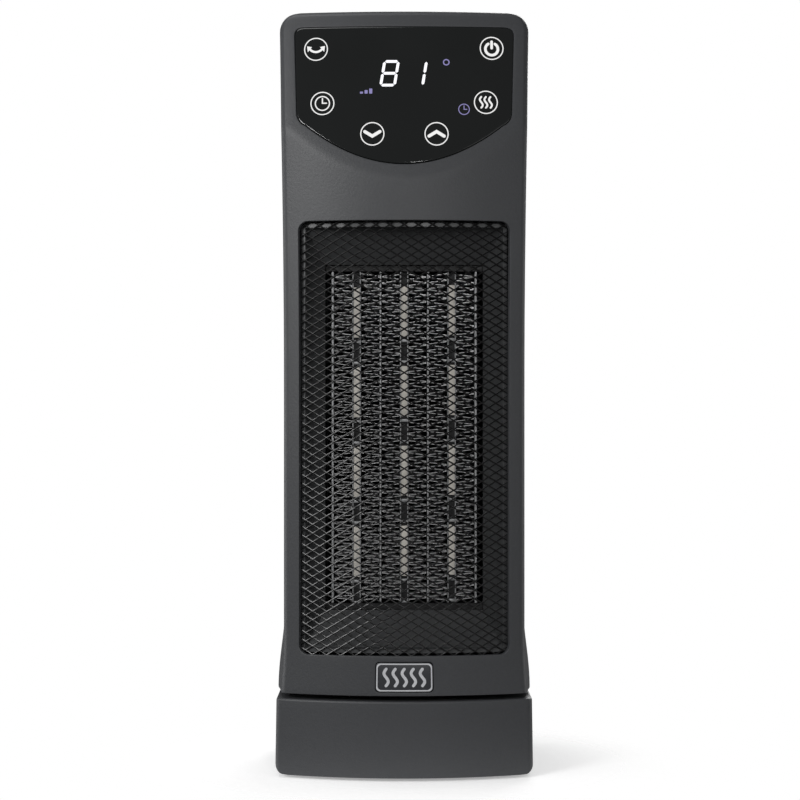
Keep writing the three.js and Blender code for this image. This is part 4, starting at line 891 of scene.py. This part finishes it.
class HEATER_OT_grille(bpy.types.Operator):
    """Expanded metal grille: one diamond repeated, welded and bent to the face"""

    bl_idname = "heater.grille"
    bl_label = "Grille"

    def execute(self, context):
        s = sizes()
        _, place = front_skin()
        depth, behind, rise, twist = 0.6 * MM, 2.9 * MM, 0.24 * MM, 0.3 * MM
        half_x, half_z = s.cell_width / 2, s.cell_height / 2
        middle = (GRILLE_LOW.z + GRILLE_HIGH.z) / 2
        bm = bmesh.new()
        bmesh.ops.create_circle(bm, cap_ends=True, radius=1, segments=4)
        bmesh.ops.scale(bm, vec=(half_x, half_z, 1), verts=bm.verts[:])
        outer = set(bm.verts)
        face = bm.faces[:]
        bm.normal_update()
        bmesh.ops.inset_individual(bm, faces=face, thickness=s.strand / 2, use_even_offset=True)
        hole = [v for v in bm.verts if v not in outer]
        bmesh.ops.delete(bm, geom=[f for f in bm.faces if all(v not in outer for v in f.verts)], context="FACES_ONLY")
        for v in hole:
            v.co.z = rise + twist * v.co.y / half_z
        back = bmesh.ops.extrude_face_region(bm, geom=bm.faces[:])["geom"]
        bmesh.ops.translate(bm, verts=verts_in(back), vec=(0, 0, depth))
        on_edge = lambda v: abs(abs(v.co.x) / half_x + abs(v.co.y) / half_z - 1) < 1e-4
        outside = [f for f in bm.faces if all(on_edge(v) for v in f.verts)]
        bmesh.ops.delete(bm, geom=outside, context="FACES_ONLY")
        cell = everything(bm)
        columns = int(GRILLE_HIGH.x / half_x) - 1
        rows = int((GRILLE_HIGH.z - GRILLE_LOW.z) / 2 / half_z) - 1
        for row in range(-rows, rows + 1):
            for column in range(-columns, columns + 1):
                if (row + column) % 2 == 0 and (row or column):
                    added = bmesh.ops.duplicate(bm, geom=cell)["geom"]
                    shift = (column * half_x, row * half_z, 0)
                    bmesh.ops.translate(bm, verts=verts_in(added), vec=shift)
        bmesh.ops.translate(bm, verts=bm.verts[:], vec=(0, middle, behind))
        bmesh.ops.remove_doubles(bm, verts=bm.verts[:], dist=1e-5)
        bmesh.ops.bridge_loops(bm, edges=[e for e in bm.edges if e.is_boundary])
        for v in bm.verts:
            v.co = place(*v.co)
        piece("grille_mesh", bm, "housing", "grille", ["front_grille"], smooth=50)
        self.rim(place)
        return {"FINISHED"}

    def rim(self, place):
        """A flat rim behind the diamonds, under the shell's edge."""
        inner = (-WINDOW_HALF, WINDOW_HALF, WINDOW_LOW, WINDOW_HIGH)
        clear, lap, thick, behind = 0.3 * MM, GRILLE_LAP - 0.1 * MM, 0.6 * MM, 3.6 * MM
        corner, outward = sizes().window_corner, (-1, 1, -1, 1)
        grown = [edge + way * lap for edge, way in zip(inner, outward)]
        opening = [edge + way * clear for edge, way in zip(inner, outward)]
        rim = flat(rounded(*grown, corner + lap), rounded(*opening, corner))
        thicken(rim, thick)
        slice_at(rim, 0, slices(grown[0], grown[1], 4 * MM))
        bend(rim, lambda u, v, w: place(u, v, w + behind))
        piece("grille_rim", rim, "housing", "grille")


class HEATER_OT_panel(bpy.types.Operator):
    """Touch panel: polished lens set in the head"""

    bl_idname = "heater.panel"
    bl_label = "Touch panel"

    def execute(self, context):
        _, place = front_skin()
        thick, edge, proud = 2 * MM, 0.8 * MM, 0.35 * MM
        bm = flat(panel_outline())
        thicken(bm, thick)
        soften(bm, rim_edges(bm), edge, 5)
        bmesh.ops.translate(bm, verts=bm.verts[:], vec=(0, 0, -proud))
        slice_at(bm, 0, slices(PANEL_LOW.x, PANEL_HIGH.x, 3 * MM))
        slice_at(bm, 1, slices(PANEL_LOW.z, PANEL_HIGH.z, 4 * MM))
        bend(bm, lambda u, v, w: on_head(place, u, v, w))
        piece("touch_panel", bm, "housing", "panel", ["control_panel"], weighted=True)
        return {"FINISHED"}


def on_head(place, u, v, w):
    """A point on the head's leaning face, kept clear of the crease's soft turn."""
    s = sizes()
    crease = TOP_Z - s.head_rise
    point = place(u, v, w)
    face = FRONT_Y + sag(u, s.head_radius) + math.tan(s.head_tilt) * (v - crease)
    return Vector((u, face + w, point.z if w > MM else v))


def stroke(points, width, round_steps=5):
    """Outline of a line of even width with round ends."""
    path = [Vector(p) for p in points]
    steps = [(b - a).normalized() for a, b in zip(path, path[1:])]
    sides = []
    for i, point in enumerate(path):
        along = (steps[max(0, i - 1)] + steps[min(i, len(steps) - 1)]).normalized()
        turn = along.dot(steps[min(i, len(steps) - 1)])
        sides.append((point, Vector((-along.y, along.x)) * width / 2 / max(0.3, turn)))
    left = [p + n for p, n in sides]
    right = [p - n for p, n in sides][::-1]
    ends = []
    for point, along in ((path[-1], steps[-1]), (path[0], -steps[0])):
        start = math.atan2(along.y, along.x) + math.pi / 2
        turns = [start - math.pi * i / round_steps for i in range(1, round_steps)]
        ends.append([point + Vector((math.cos(a), math.sin(a))) * width / 2 for a in turns])
    return [tuple(p) for p in left + ends[0] + right + ends[1]]


def arc(x, y, radius, start, end, steps=20):
    """Points along part of a circle, from one angle to another in degrees."""
    turns = [math.radians(start + (end - start) * i / steps) for i in range(steps + 1)]
    return [(x + radius * math.cos(a), y + radius * math.sin(a)) for a in turns]


def mark(bm, *outlines):
    """Adds one flat mark; a second outline is a hole in it."""
    edges = [e for outline in outlines for e in loop(bm, outline)]
    if len(outlines) == 2:
        bmesh.ops.triangle_fill(bm, use_beauty=True, edges=edges)
    else:
        bmesh.ops.contextual_create(bm, geom=edges)


def ring(bm, x, y, radius, line, steps=48):
    """Adds a ring, its line measured inwards from its radius."""
    mark(bm, circle(x, y, radius, steps), circle(x, y, radius - line, steps))


def waves(bm, x, y, height, gap, line, count=3):
    """Rising heat: upright wavy lines side by side."""
    for i in range(count):
        left = x + gap * (i - (count - 1) / 2)
        rise = [j / 16 for j in range(17)]
        points = [(left + 0.13 * height * math.sin(2 * math.pi * t), y + height * (t - 0.5)) for t in rise]
        mark(bm, stroke(points, line))


def digit(bm, x, y, height, lit_segments, width, line=1.45):
    """A seven-segment digit leaning to the right; x, y is the middle of its lower left end."""
    lean = math.tan(math.radians(9))
    w, h, gap = width - line, height - line, 0.22
    ends = {
        "a": ((0, h), (w, h)),
        "b": ((w, h), (w, h / 2)),
        "c": ((w, h / 2), (w, 0)),
        "d": ((0, 0), (w, 0)),
        "e": ((0, 0), (0, h / 2)),
        "f": ((0, h / 2), (0, h)),
        "g": ((0, h / 2), (w, h / 2)),
    }
    for name in lit_segments:
        a, b = (Vector(end) for end in ends[name])
        along = (b - a).normalized()
        side = Vector((-along.y, along.x)) * line / 2
        a, b = a + along * gap, b - along * gap
        tip = along * line / 2
        bar = [a, a + tip + side, b - tip + side, b, b - tip - side, a + tip - side]
        mark(bm, [((p.x + x + p.y * lean) * MM, (p.y + y) * MM) for p in bar])


def millimetres(points):
    """Points given in millimetres, in metres."""
    return [(x * MM, y * MM) for x, y in points]


class HEATER_OT_symbols(bpy.types.Operator):
    """Symbols of the touch keys, the display's digits and its small signs"""

    bl_idname = "heater.symbols"
    bl_label = "Symbols and digits"

    def execute(self, context):
        self.keys()
        digits = bmesh.new()
        digit(digits, -12.2, 359.5, 14.2, "abcdefg", 8.6)
        digit(digits, 2.4, 359.5, 14.2, "bc", 8.6)
        self.lay(digits, "display_digits", "glow")
        small = bmesh.new()
        ring(small, 21.9 * MM, 371.9 * MM, 1.75 * MM, 0.6 * MM, 24)
        for i in range(3):
            x, high = -23 + 2.4 * i, 1.1 + 0.8 * i
            mark(small, millimetres(rounded(x, x + 1.6, 355, 355 + high, 0.25, 2)))
        ring(small, 31 * MM, 346.7 * MM, 3.0 * MM, 0.45 * MM, 32)
        mark(small, stroke(millimetres([(31, 348.6), (31, 346.7), (32.5, 346.7)]), 0.45 * MM))
        self.lay(small, "display_signs", "violet")
        return {"FINISHED"}

    def keys(self):
        bm = bmesh.new()
        line = 0.56 * MM
        for x, z in ((-46.1, 379.3), (45.7, 379.8), (-42.5, 350.0), (42.4, 350.6)):
            ring(bm, x * MM, z * MM, 6.25 * MM, line, 64)
        mark(bm, stroke(millimetres(arc(-46.1, 381.8, 4.0, 220, 320)), 1.15 * MM))
        for side in (-1, 1):
            head = [(-4.7, 381.0), (-2.1, 380.5), (-4.3, 377.8)]
            mark(bm, millimetres([(-46.1 - side * x, z) for x, z in head]))
        mark(bm, stroke(millimetres(arc(45.7, 379.4, 3.3, 122, 418)), 1.4 * MM))
        mark(bm, stroke(millimetres([(45.7, 383.4), (45.7, 379.9)]), 1.4 * MM))
        ring(bm, -42.5 * MM, 350 * MM, 4.0 * MM, 0.62 * MM)
        mark(bm, stroke(millimetres([(-42.5, 352.6), (-42.5, 350.1), (-40.4, 350.1)]), 0.65 * MM))
        waves(bm, 42.4 * MM, 350.6 * MM, 5.8 * MM, 2.4 * MM, 0.95 * MM)
        for x, way in ((-16.5, -1), (16.7, 1)):
            ring(bm, x * MM, 333.5 * MM, 6.25 * MM, line, 64)
            points = [(x - 3.9, 333.5 - way * 1.2), (x, 333.5 + way * 1.2), (x + 3.9, 333.5 - way * 1.2)]
            mark(bm, stroke(millimetres(points), 1.7 * MM))
        self.lay(bm, "key_symbols", "print")

    def lay(self, bm, name, finish_name):
        """Presses flat marks on to the panel."""
        _, place = front_skin()
        thicken(bm, 0.3 * MM)
        for v in bm.verts:
            v.co = on_head(place, v.co.x, v.co.y, v.co.z - 0.41 * MM)
        piece(name, bm, "housing", finish_name)


class HEATER_OT_badge(bpy.types.Operator):
    """Metal badge below the window, with rising heat as its mark"""

    bl_idname = "heater.badge"
    bl_label = "Badge"

    def execute(self, context):
        _, place = front_skin()
        bm = flat(badge_outline())
        thicken(bm, 1.2 * MM)
        soften(bm, rim_edges(bm), 0.3 * MM, 3)
        slice_at(bm, 0, slices(-14 * MM, 14 * MM, 3 * MM))
        bend(bm, lambda u, v, w: place(u, v, w - 0.4 * MM))
        piece("badge_plate", bm, "housing", "badge", ["badge"])
        raised = bmesh.new()
        mark(raised, badge_outline(-0.35 * MM), badge_outline(-1.0 * MM))
        waves(raised, 0, 53.4 * MM, 8.6 * MM, 4.6 * MM, 1.5 * MM, 5)
        thicken(raised, 0.4 * MM)
        slice_at(raised, 0, slices(-14 * MM, 14 * MM, 2 * MM))
        bend(raised, lambda u, v, w: place(u, v, w - 0.62 * MM))
        piece("badge_mark", raised, "housing", "badge_mark")
        return {"FINISHED"}


SOFTBOXES = (  # name, place in metres, size in metres, power in watts
    ("key_light", (-0.62, -0.8, 0.56), 0.3, 5.3),
    ("top_light", (-0.3, -0.12, 1.1), 0.5, 2.6),
    ("front_light", (0.12, -1.2, 0.45), 0.12, 1.8),
    ("back_light", (0.35, 1.2, 0.8), 0.7, 9.0),
    ("fill_light", (0.9, -1.0, 0.3), 0.7, 1.2),
    ("left_rim_light", (-0.7, 0.15, 0.2), 0.5, 1.6),
    ("right_rim_light", (0.7, 0.2, 0.2), 0.5, 1.0),
)


class HEATER_OT_stage(bpy.types.Operator):
    """Floor, background, lights and camera"""

    bl_idname = "heater.stage"
    bl_label = "Stage"

    def execute(self, context):
        bm = bmesh.new()
        bmesh.ops.create_grid(bm, x_segments=1, y_segments=1, size=4)
        mesh = bpy.data.meshes.new("floor")
        bm.to_mesh(mesh)
        bm.free()
        floor = bpy.data.objects.new("floor", mesh)
        context.scene.collection.objects.link(floor)
        f = finish("pale_floor")
        rgb = tuple(colours().floor)
        tone = f.noise(0.4, 2.0)
        away = f.node("ShaderNodeVectorMath", {"operation": "LENGTH"}, f.place(), out=1)
        near = f.node("ShaderNodeMapRange", {"interpolation_type": "SMOOTHSTEP"}, away, 0.06, 0.15, 1.0, 0.0)
        shade = f.shade(scaled(rgb, 0.985), rgb, tone)
        light = {"Emission_Color": (1, 1, 1, 1), "Emission_Strength": 0.33}
        mesh.materials.append(f.surface(Base_Color=shade, Roughness=0.8 + tone * 0.1, Alpha=near, **light))
        self.world()
        for row in SOFTBOXES:
            self.softbox(*row)
        self.camera()
        context.scene.view_settings.view_transform = "Standard"
        return {"FINISHED"}

    def world(self):
        """Soft light from all round, and a white background for the camera alone."""
        world = bpy.data.worlds.new("studio")
        bpy.context.scene.world = world
        f = Finish(world)
        seen = f.node("ShaderNodeLightPath")
        around = f.node("ShaderNodeBackground", None, Color=(1, 1, 1, 1), Strength=0.14)
        behind = f.node("ShaderNodeBackground", None, Color=(1, 1, 1, 1), Strength=1.0)
        mixed = f.node("ShaderNodeMixShader", None, seen, around, behind)
        f.node("ShaderNodeOutputWorld", None, mixed)

    def softbox(self, name, at, size, power):
        """A square light turned towards the heater's middle."""
        light = bpy.data.lights.new(name, "AREA")
        light.shape, light.size, light.energy = "SQUARE", size, power
        thing = bpy.data.objects.new(name, light)
        thing.location = at
        aim = Vector((0, 0, TOP_Z / 2)) - Vector(at)
        thing.rotation_euler = aim.to_track_quat("-Z", "Y").to_euler()
        bpy.context.scene.collection.objects.link(thing)

    def camera(self):
        """A long lens in front, level with the heater's middle."""
        lens = bpy.data.cameras.new("camera")
        lens.lens, lens.sensor_width, lens.clip_end = 96.3, 36, 50
        camera = bpy.data.objects.new("camera", lens)
        camera.location = (-0.0022, -1.162, 0.196)
        camera.rotation_euler = (math.pi / 2, 0, 0)
        bpy.context.scene.collection.objects.link(camera)
        bpy.context.scene.camera = camera


def sheet_band(bm, points, low, high, thickness, axis="Y"):
    """A thin bent sheet: a line of points drawn out between two places along an axis, then thickened."""
    verts = [bm.verts.new((x, low, z) if axis == "Y" else (x, z, low)) for x, z in points]
    edges = [bm.edges.new(pair) for pair in zip(verts, verts[1:])]
    grown = bmesh.ops.extrude_edge_only(bm, edges=edges)["geom"]
    vec = (0, high - low, 0) if axis == "Y" else (0, 0, high - low)
    bmesh.ops.translate(bm, verts=verts_in(grown), vec=vec)
    faces = list({f for e in edges for f in e.link_faces})
    bmesh.ops.recalc_face_normals(bm, faces=faces)
    bmesh.ops.solidify(bm, geom=faces, thickness=thickness)


class HEATER_OT_core(bpy.types.Operator):
    """Heating core: corrugated fins, ceramic stones and their electrodes"""

    bl_idname = "heater.core"
    bl_label = "Heating core"

    def execute(self, context):
        self.fins()
        self.strips()
        return {"FINISHED"}

    def fins(self):
        """One folded sheet in each column, its folds a little uneven."""
        s = sizes()
        half_flat, unevenness, first = 0.28 * MM, 0.12 * MM, 0.7
        for number in range(1, 7):
            name = f"heater_fin_{number}"
            low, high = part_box(name)
            bm = bmesh.new()
            points = []
            folds = int((high.z - low.z) / s.fin_pitch * 2)
            left, right = low.x + s.fin_sheet, high.x - s.fin_sheet
            for fold in range(folds):
                x = right if (fold + number) % 2 else left
                z = low.z + s.fin_pitch / 2 * (fold + first)
                drift = unevenness * math.sin(fold * 1.7 + number * 2.1)
                points += [(x, z - half_flat + drift), (x, z + half_flat + drift)]
            sheet_band(bm, points, low.y, high.y, s.fin_sheet)
            piece(f"fin_folds_{number}", bm, "housing", "fin", [name], smooth=30)

    def strips(self):
        """Stones and small clips between two rails, with insulation behind them."""
        s = sizes()
        rail, first, offset, recess = 0.55 * MM, 7.5 * MM, 0.6 * MM, 0.4 * MM
        clip_place, clip_half, clip_soft = 2.2 * MM, 0.8 * MM, 0.35 * MM
        stones, rails, gaps = bmesh.new(), bmesh.new(), bmesh.new()
        for number in (1, 2, 3):
            low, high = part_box(f"ptc_strip_{number}")
            for x in (low.x, high.x - rail):
                brick(rails, (x, low.y, low.z), (x + rail, high.y, high.z), 0.1 * MM, 1)
            top = high.z - first + (number - 2) * offset
            x0, x1 = low.x + rail, high.x - rail
            brick(gaps, (x0, low.y + 3 * MM, low.z), (x1, high.y, high.z))
            while top - s.stone > low.z:
                brick(stones, (x0, low.y + recess, top - s.stone), (x1, high.y - MM, top), clip_soft)
                top -= s.stone + s.stone_space
                for near in (clip_place, s.stone_space - clip_place):
                    start = (x0, low.y + clip_half, top + near - clip_half)
                    brick(rails, start, (x1, low.y + 2 * clip_half, top + near + clip_half), clip_soft)
        piece("ceramic_stones", stones, "housing", "ceramic", ["ptc_strip_1", "ptc_strip_2"])
        piece("core_insulation", gaps, "housing", "black")
        piece("electrode_rails", rails, "housing", "plate", ["ptc_strip_3"])


class HEATER_OT_wheel(bpy.types.Operator):
    """Blower wheel: curved blades between discs"""

    bl_idname = "heater.wheel"
    bl_label = "Blower wheel"

    def execute(self, context):
        s = sizes()
        low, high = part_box("blower_wheel")
        centre = Vector(((low.x + high.x) / 2, (low.y + high.y) / 2, 0))
        radius, bottom, top = high.x - 0.3 * MM, 87.7 * MM, 265 * MM
        blade_depth, curl, blade_steps, blade_thick = 7.4 * MM, 0.26, 5, 0.7 * MM
        bm = bmesh.new()
        blade = []
        for i in range(blade_steps + 1):
            out = radius - blade_depth * (1 - i / blade_steps)
            turn = curl * math.sin(math.pi / 2 * i / blade_steps)
            blade.append((out * math.cos(turn), out * math.sin(turn)))
        sheet_band(bm, blade, bottom, top, blade_thick, "Z")
        bmesh.ops.spin(
            bm,
            geom=everything(bm),
            cent=(0, 0, 0),
            axis=(0, 0, 1),
            angle=2 * math.pi * (s.blades - 1) / s.blades,
            steps=s.blades - 1,
            use_duplicate=True,
        )
        placed(bm)
        ring_inner, disc, hub, shaft = radius - 8.6 * MM, 1.6 * MM, 3 * MM, 3.4 * MM
        for z, start in ((bottom, hub), ((bottom + top) / 2, ring_inner), (top - disc, hub)):
            closed = [(start, z), (radius - MM, z), (radius - 0.6 * MM, z + disc / 2), (radius - MM, z + disc)]
            turned(bm, closed + [(start, z + disc), (start, z)])
        turned(bm, [(0, low.z), (shaft, low.z), (shaft, high.z), (0, high.z)], steps=24)
        bmesh.ops.translate(bm, verts=bm.verts[:], vec=centre)
        piece("wheel_blades", bm, "fan", "black", ["blower_wheel"])
        return {"FINISHED"}


class HEATER_OT_cover(bpy.types.Operator):
    """Intake cover: rounded frame with tilted louvres"""

    bl_idname = "heater.cover"
    bl_label = "Intake cover"

    def execute(self, context):
        s = sizes()
        low, high = COVER_LOW, COVER_HIGH
        rim = 4 * MM
        outline = rounded(low.x, high.x, low.z, high.z, 5.7 * MM)
        hole = rounded(low.x + rim, high.x - rim, low.z + rim, high.z - rim, 2.5 * MM)
        bm = flat(outline, hole)
        thicken(bm, -2.6 * MM)
        soften(bm, rim_edges(bm), 0.6 * MM, 3)
        for v in bm.verts:
            v.co = Vector((v.co.x, high.y + v.co.z, v.co.y))
        count = int((high.z - low.z - 2 * rim) / s.louvre_pitch)
        for i in range(count):
            z = (low.z + high.z) / 2 + (i - (count - 1) / 2) * s.louvre_pitch
            start = (low.x + rim - MM, high.y - 3.1 * MM, z - 0.7 * MM)
            end = (high.x - rim + MM, high.y - 0.1 * MM, z + 0.7 * MM)
            brick(bm, start, end, 0.45 * MM, 2, math.radians(-32))
        for x in (-0.33, 0, 0.33):
            middle, half = x * (high.x - low.x), 1.1 * MM
            start = (middle - half, high.y - 1.9 * MM, low.z + rim - MM)
            brick(bm, start, (middle + half, high.y - 0.25 * MM, high.z - rim + MM), 0.4 * MM)
        tab = ((-9 * MM, high.y - 1.5 * MM, high.z - rim - 0.6 * MM), (9 * MM, high.y + 0.5 * MM, high.z - 0.9 * MM))
        brick(bm, *tab, 0.5 * MM)
        piece("intake_louvres", bm, "cover", "black", ["intake_cover"], weighted=True)
        return {"FINISHED"}


class HEATER_OT_fittings(bpy.types.Operator):
    """Power switch, cord gland, feet and screws"""

    bl_idname = "heater.fittings"
    bl_label = "Switch, gland, feet and screws"

    def execute(self, context):
        self.switch()
        self.gland()
        self.feet()
        self.spring()
        numbers = (1, 2, 3, 4)
        self.screws([f"base_screw_{i}" for i in numbers], "base", "base_screw_heads", "Z")
        self.screws([f"shell_screw_{i}" for i in numbers], "housing", "shell_screw_heads", "Y")
        return {"FINISHED"}

    def gland(self):
        """A ribbed rubber collar with a bore for the cord."""
        low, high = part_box("cord_gland")
        bore, modelled = 1.8, 7  # millimetres: its radius, and the length that the steps below are for
        radii = [8.5, 8.5, 6, 6, 5, 5, 6, 6, 5, 5, 5.4, 4.4, bore, bore, 8.5]
        steps = [0, 1.6, 2.2, 3, 3, 3.8, 3.8, 4.6, 4.6, 5.4, 5.6, modelled, modelled, 0, 0]
        profile = [(r * MM, low.y + (high.y - low.y) * step / modelled) for r, step in zip(radii, steps)]
        bm = bmesh.new()
        turned(bm, profile, ((low.x + high.x) / 2, 0, (low.z + high.z) / 2), "Y", 32)
        piece("gland_collar", bm, "base", "rubber", ["cord_gland"])

    def feet(self):
        """Rubber pads with a shallow dish underneath."""
        bm = bmesh.new()
        feet = ["foot_front_left", "foot_front_right", "foot_rear_left", "foot_rear_right"]
        for name in feet:
            low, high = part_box(name)
            r, tall = (high.x - low.x) / 2, high.z - low.z
            rim = [(-2.2, 0.5), (-1.8, 0), (-0.9, 0), (-0.25, 0.3), (0, 0.9)]
            profile = [(0, 0.5 * MM)] + [(r + x * MM, z * MM) for x, z in rim] + [(r, tall), (0, tall)]
            turned(bm, profile, ((low.x + high.x) / 2, (low.y + high.y) / 2, low.z), steps=40)
        piece("feet_pads", bm, "base", "rubber", feet)

    def spring(self):
        """A coil that starts a little way up, clear of the raised plunger."""
        low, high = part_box("tip_spring")
        middle = (low + high) / 2
        wire, turns, start, steps = 0.38 * MM, 4, 0.9 * MM, 24
        bm = bmesh.new()
        made = bmesh.ops.create_circle(bm, cap_ends=True, radius=wire, segments=8)["verts"]
        bmesh.ops.rotate(bm, verts=made, cent=(0, 0, 0), matrix=Matrix.Rotation(math.pi / 2, 3, "X"))
        bmesh.ops.translate(bm, verts=made, vec=((high.x - low.x) / 2 - wire, 0, start + wire))
        climb = (high.z - low.z - start - 2 * wire) / (steps * turns)
        helix = {"cent": (0, 0, 0), "axis": (0, 0, 1), "dvec": (0, 0, climb), "angle": 2 * math.pi * turns}
        bmesh.ops.spin(bm, geom=everything(bm), steps=steps * turns, **helix)
        bmesh.ops.translate(bm, verts=bm.verts[:], vec=(middle.x, middle.y, low.z))
        piece("tip_coil", bm, "base", "zinc", ["tip_spring"])

    def switch(self):
        """The mains rocker, hollow between its two ends, in its bezel."""
        low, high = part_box("power_rocker")
        case_low, case_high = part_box("power_switch_case")
        side_gap, end_gap, bezel, proud, edge = 0.4 * MM, 0.3 * MM, 1.5 * MM, 0.2 * MM, 0.35 * MM
        bm = flat(
            around(case_low, case_high, 0, 1 * MM, 4),
            rounded(low.x - side_gap, high.x + side_gap, low.z - end_gap, high.z + end_gap, 0.5 * MM, 3),
        )
        thicken(bm, -bezel)
        soften(bm, rim_edges(bm), edge)
        for v in bm.verts:
            v.co = Vector((v.co.x, case_high.y + proud + v.co.z, v.co.y))
        piece("switch_bezel", bm, "housing", "black")
        bm = bmesh.new()
        middle, half = (low.z + high.z) / 2, 0.41 * (high.z - low.z)
        dish, lower_share = 1.3 * MM, 0.7
        brick(bm, (low.x, low.y, middle - half), (high.x, high.y - end_gap, middle + half), 0.5 * MM, 3)
        slice_at(bm, 2, [middle + half * i / 8 for i in range(-7, 8)])
        for v in bm.verts:
            if v.co.y > (low.y + high.y) / 2:
                share = 1 if v.co.z > middle else lower_share
                v.co.y += dish * (((v.co.z - middle) / half) ** 2 - 1) * share
        piece("rocker_key", bm, "rocker", "black", ["power_rocker"])

    def screws(self, names, body, title, axis):
        """Pan heads with a cross recess on plain shanks."""
        deep, across = (2, 1) if axis == "Z" else (1, 2)
        arm, pan, edge = 0.45 * MM, 1.1 * MM, 0.5 * MM
        shank, tuck, point = 1.5 * MM, 0.1 * MM, 2 * MM
        bm = bmesh.new()
        for name in names:
            low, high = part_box(name)
            r, end = (high.x - low.x) / 2, (high - low)[deep]
            reach = 0.55 * r
            quarter = [(arm, reach), (arm, arm), (reach, arm)]
            right = quarter + [(x, -y) for x, y in reversed(quarter)]
            head = flat(circle(0, 0, r), right + [(-x, y) for x, y in reversed(right)])
            thicken(head, pan)
            outer = rim_edges(head, lambda e: all(v.co.xy.length > 0.9 * r for v in e.verts))
            soften(head, outer, edge, 3)
            placed(head)
            neck = [(0, 1.0 * MM), (r - tuck, 1.0 * MM), (r - tuck, 1.7 * MM), (shank, 1.9 * MM)]
            turned(head, neck + [(shank, end - point), (0, end)], steps=24)
            centre = (low + high) / 2
            for v in head.verts:
                x, y, depth = v.co
                v.co.x = centre.x + x
                v.co[across] = centre[across] + y
                v.co[deep] = low.z + depth if axis == "Z" else high.y - depth
            bmesh.ops.recalc_face_normals(head, faces=head.faces[:])
            join(bm, head)
        piece(title, bm, body, "zinc", names)


class HEATER_OT_carried(bpy.types.Operator):
    """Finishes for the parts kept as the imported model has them"""

    bl_idname = "heater.carried"
    bl_label = "Inner parts"

    def execute(self, context):
        by_slot = {
            "charcoal_plastic": "housing",
            "black_plastic": "black",
            "panel_gloss": "panel",
            "rubber": "rubber",
            "aluminium": "plate",
            "steel": "zinc",
            "badge_metal": "badge",
            "grille_steel": "grille",
            "ptc_ceramic": "ceramic",
            "board": "board",
            "white_plastic": "acetal",
            "brass": "brass",
        }
        # the fan scroll and outlet duct take the duct finish, whose lighter grey is a painted sheen
        special = {"filter_mesh": "filter", "fan_scroll": "duct", "outlet_duct": "duct"}
        for name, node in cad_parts.items():
            slot = node.material_slots[0].material.name.split(".")[0] if node.material_slots else "black_plastic"
            chosen = the(special.get(name, by_slot.get(slot, "black")))
            node.data.materials.clear()
            node.data.materials.append(chosen)
        return {"FINISHED"}


# ------------------------------------------------------------------ panel and run

OPERATORS = (
    HEATER_OT_carried,
    HEATER_OT_front_shell,
    HEATER_OT_rear_shell,
    HEATER_OT_base,
    HEATER_OT_grille,
    HEATER_OT_panel,
    HEATER_OT_symbols,
    HEATER_OT_badge,
    HEATER_OT_core,
    HEATER_OT_wheel,
    HEATER_OT_cover,
    HEATER_OT_fittings,
    HEATER_OT_stage,
)


class HEATER_PT_panel(bpy.types.Panel):
    """Lists the heater's sizes, colours and pieces"""

    bl_idname = "HEATER_PT_panel"
    bl_label = "Ceramic tower heater"
    bl_space_type = "VIEW_3D"
    bl_region_type = "UI"
    bl_category = "Heater"

    def draw(self, context):
        for operator in OPERATORS:
            self.layout.operator(operator.bl_idname)
        for group in (context.scene.heater_sizes, context.scene.heater_colours):
            for name in group.bl_rna.properties.keys():
                if name not in ("rna_type", "name"):
                    self.layout.prop(group, name)


CLASSES = (HeaterSizes, HeaterColours, *OPERATORS, HEATER_PT_panel)


def register():
    for each in CLASSES:
        bpy.utils.register_class(each)
    bpy.types.Scene.heater_sizes = PointerProperty(type=HeaterSizes)
    bpy.types.Scene.heater_colours = PointerProperty(type=HeaterColours)


def unregister():
    del bpy.types.Scene.heater_colours
    del bpy.types.Scene.heater_sizes
    for each in reversed(CLASSES):
        bpy.utils.unregister_class(each)


def main():
    register()
    for operator in OPERATORS:
        group, name = operator.bl_idname.split(".")
        getattr(getattr(bpy.ops, group), name)()


if __name__ == "__main__":
    main()
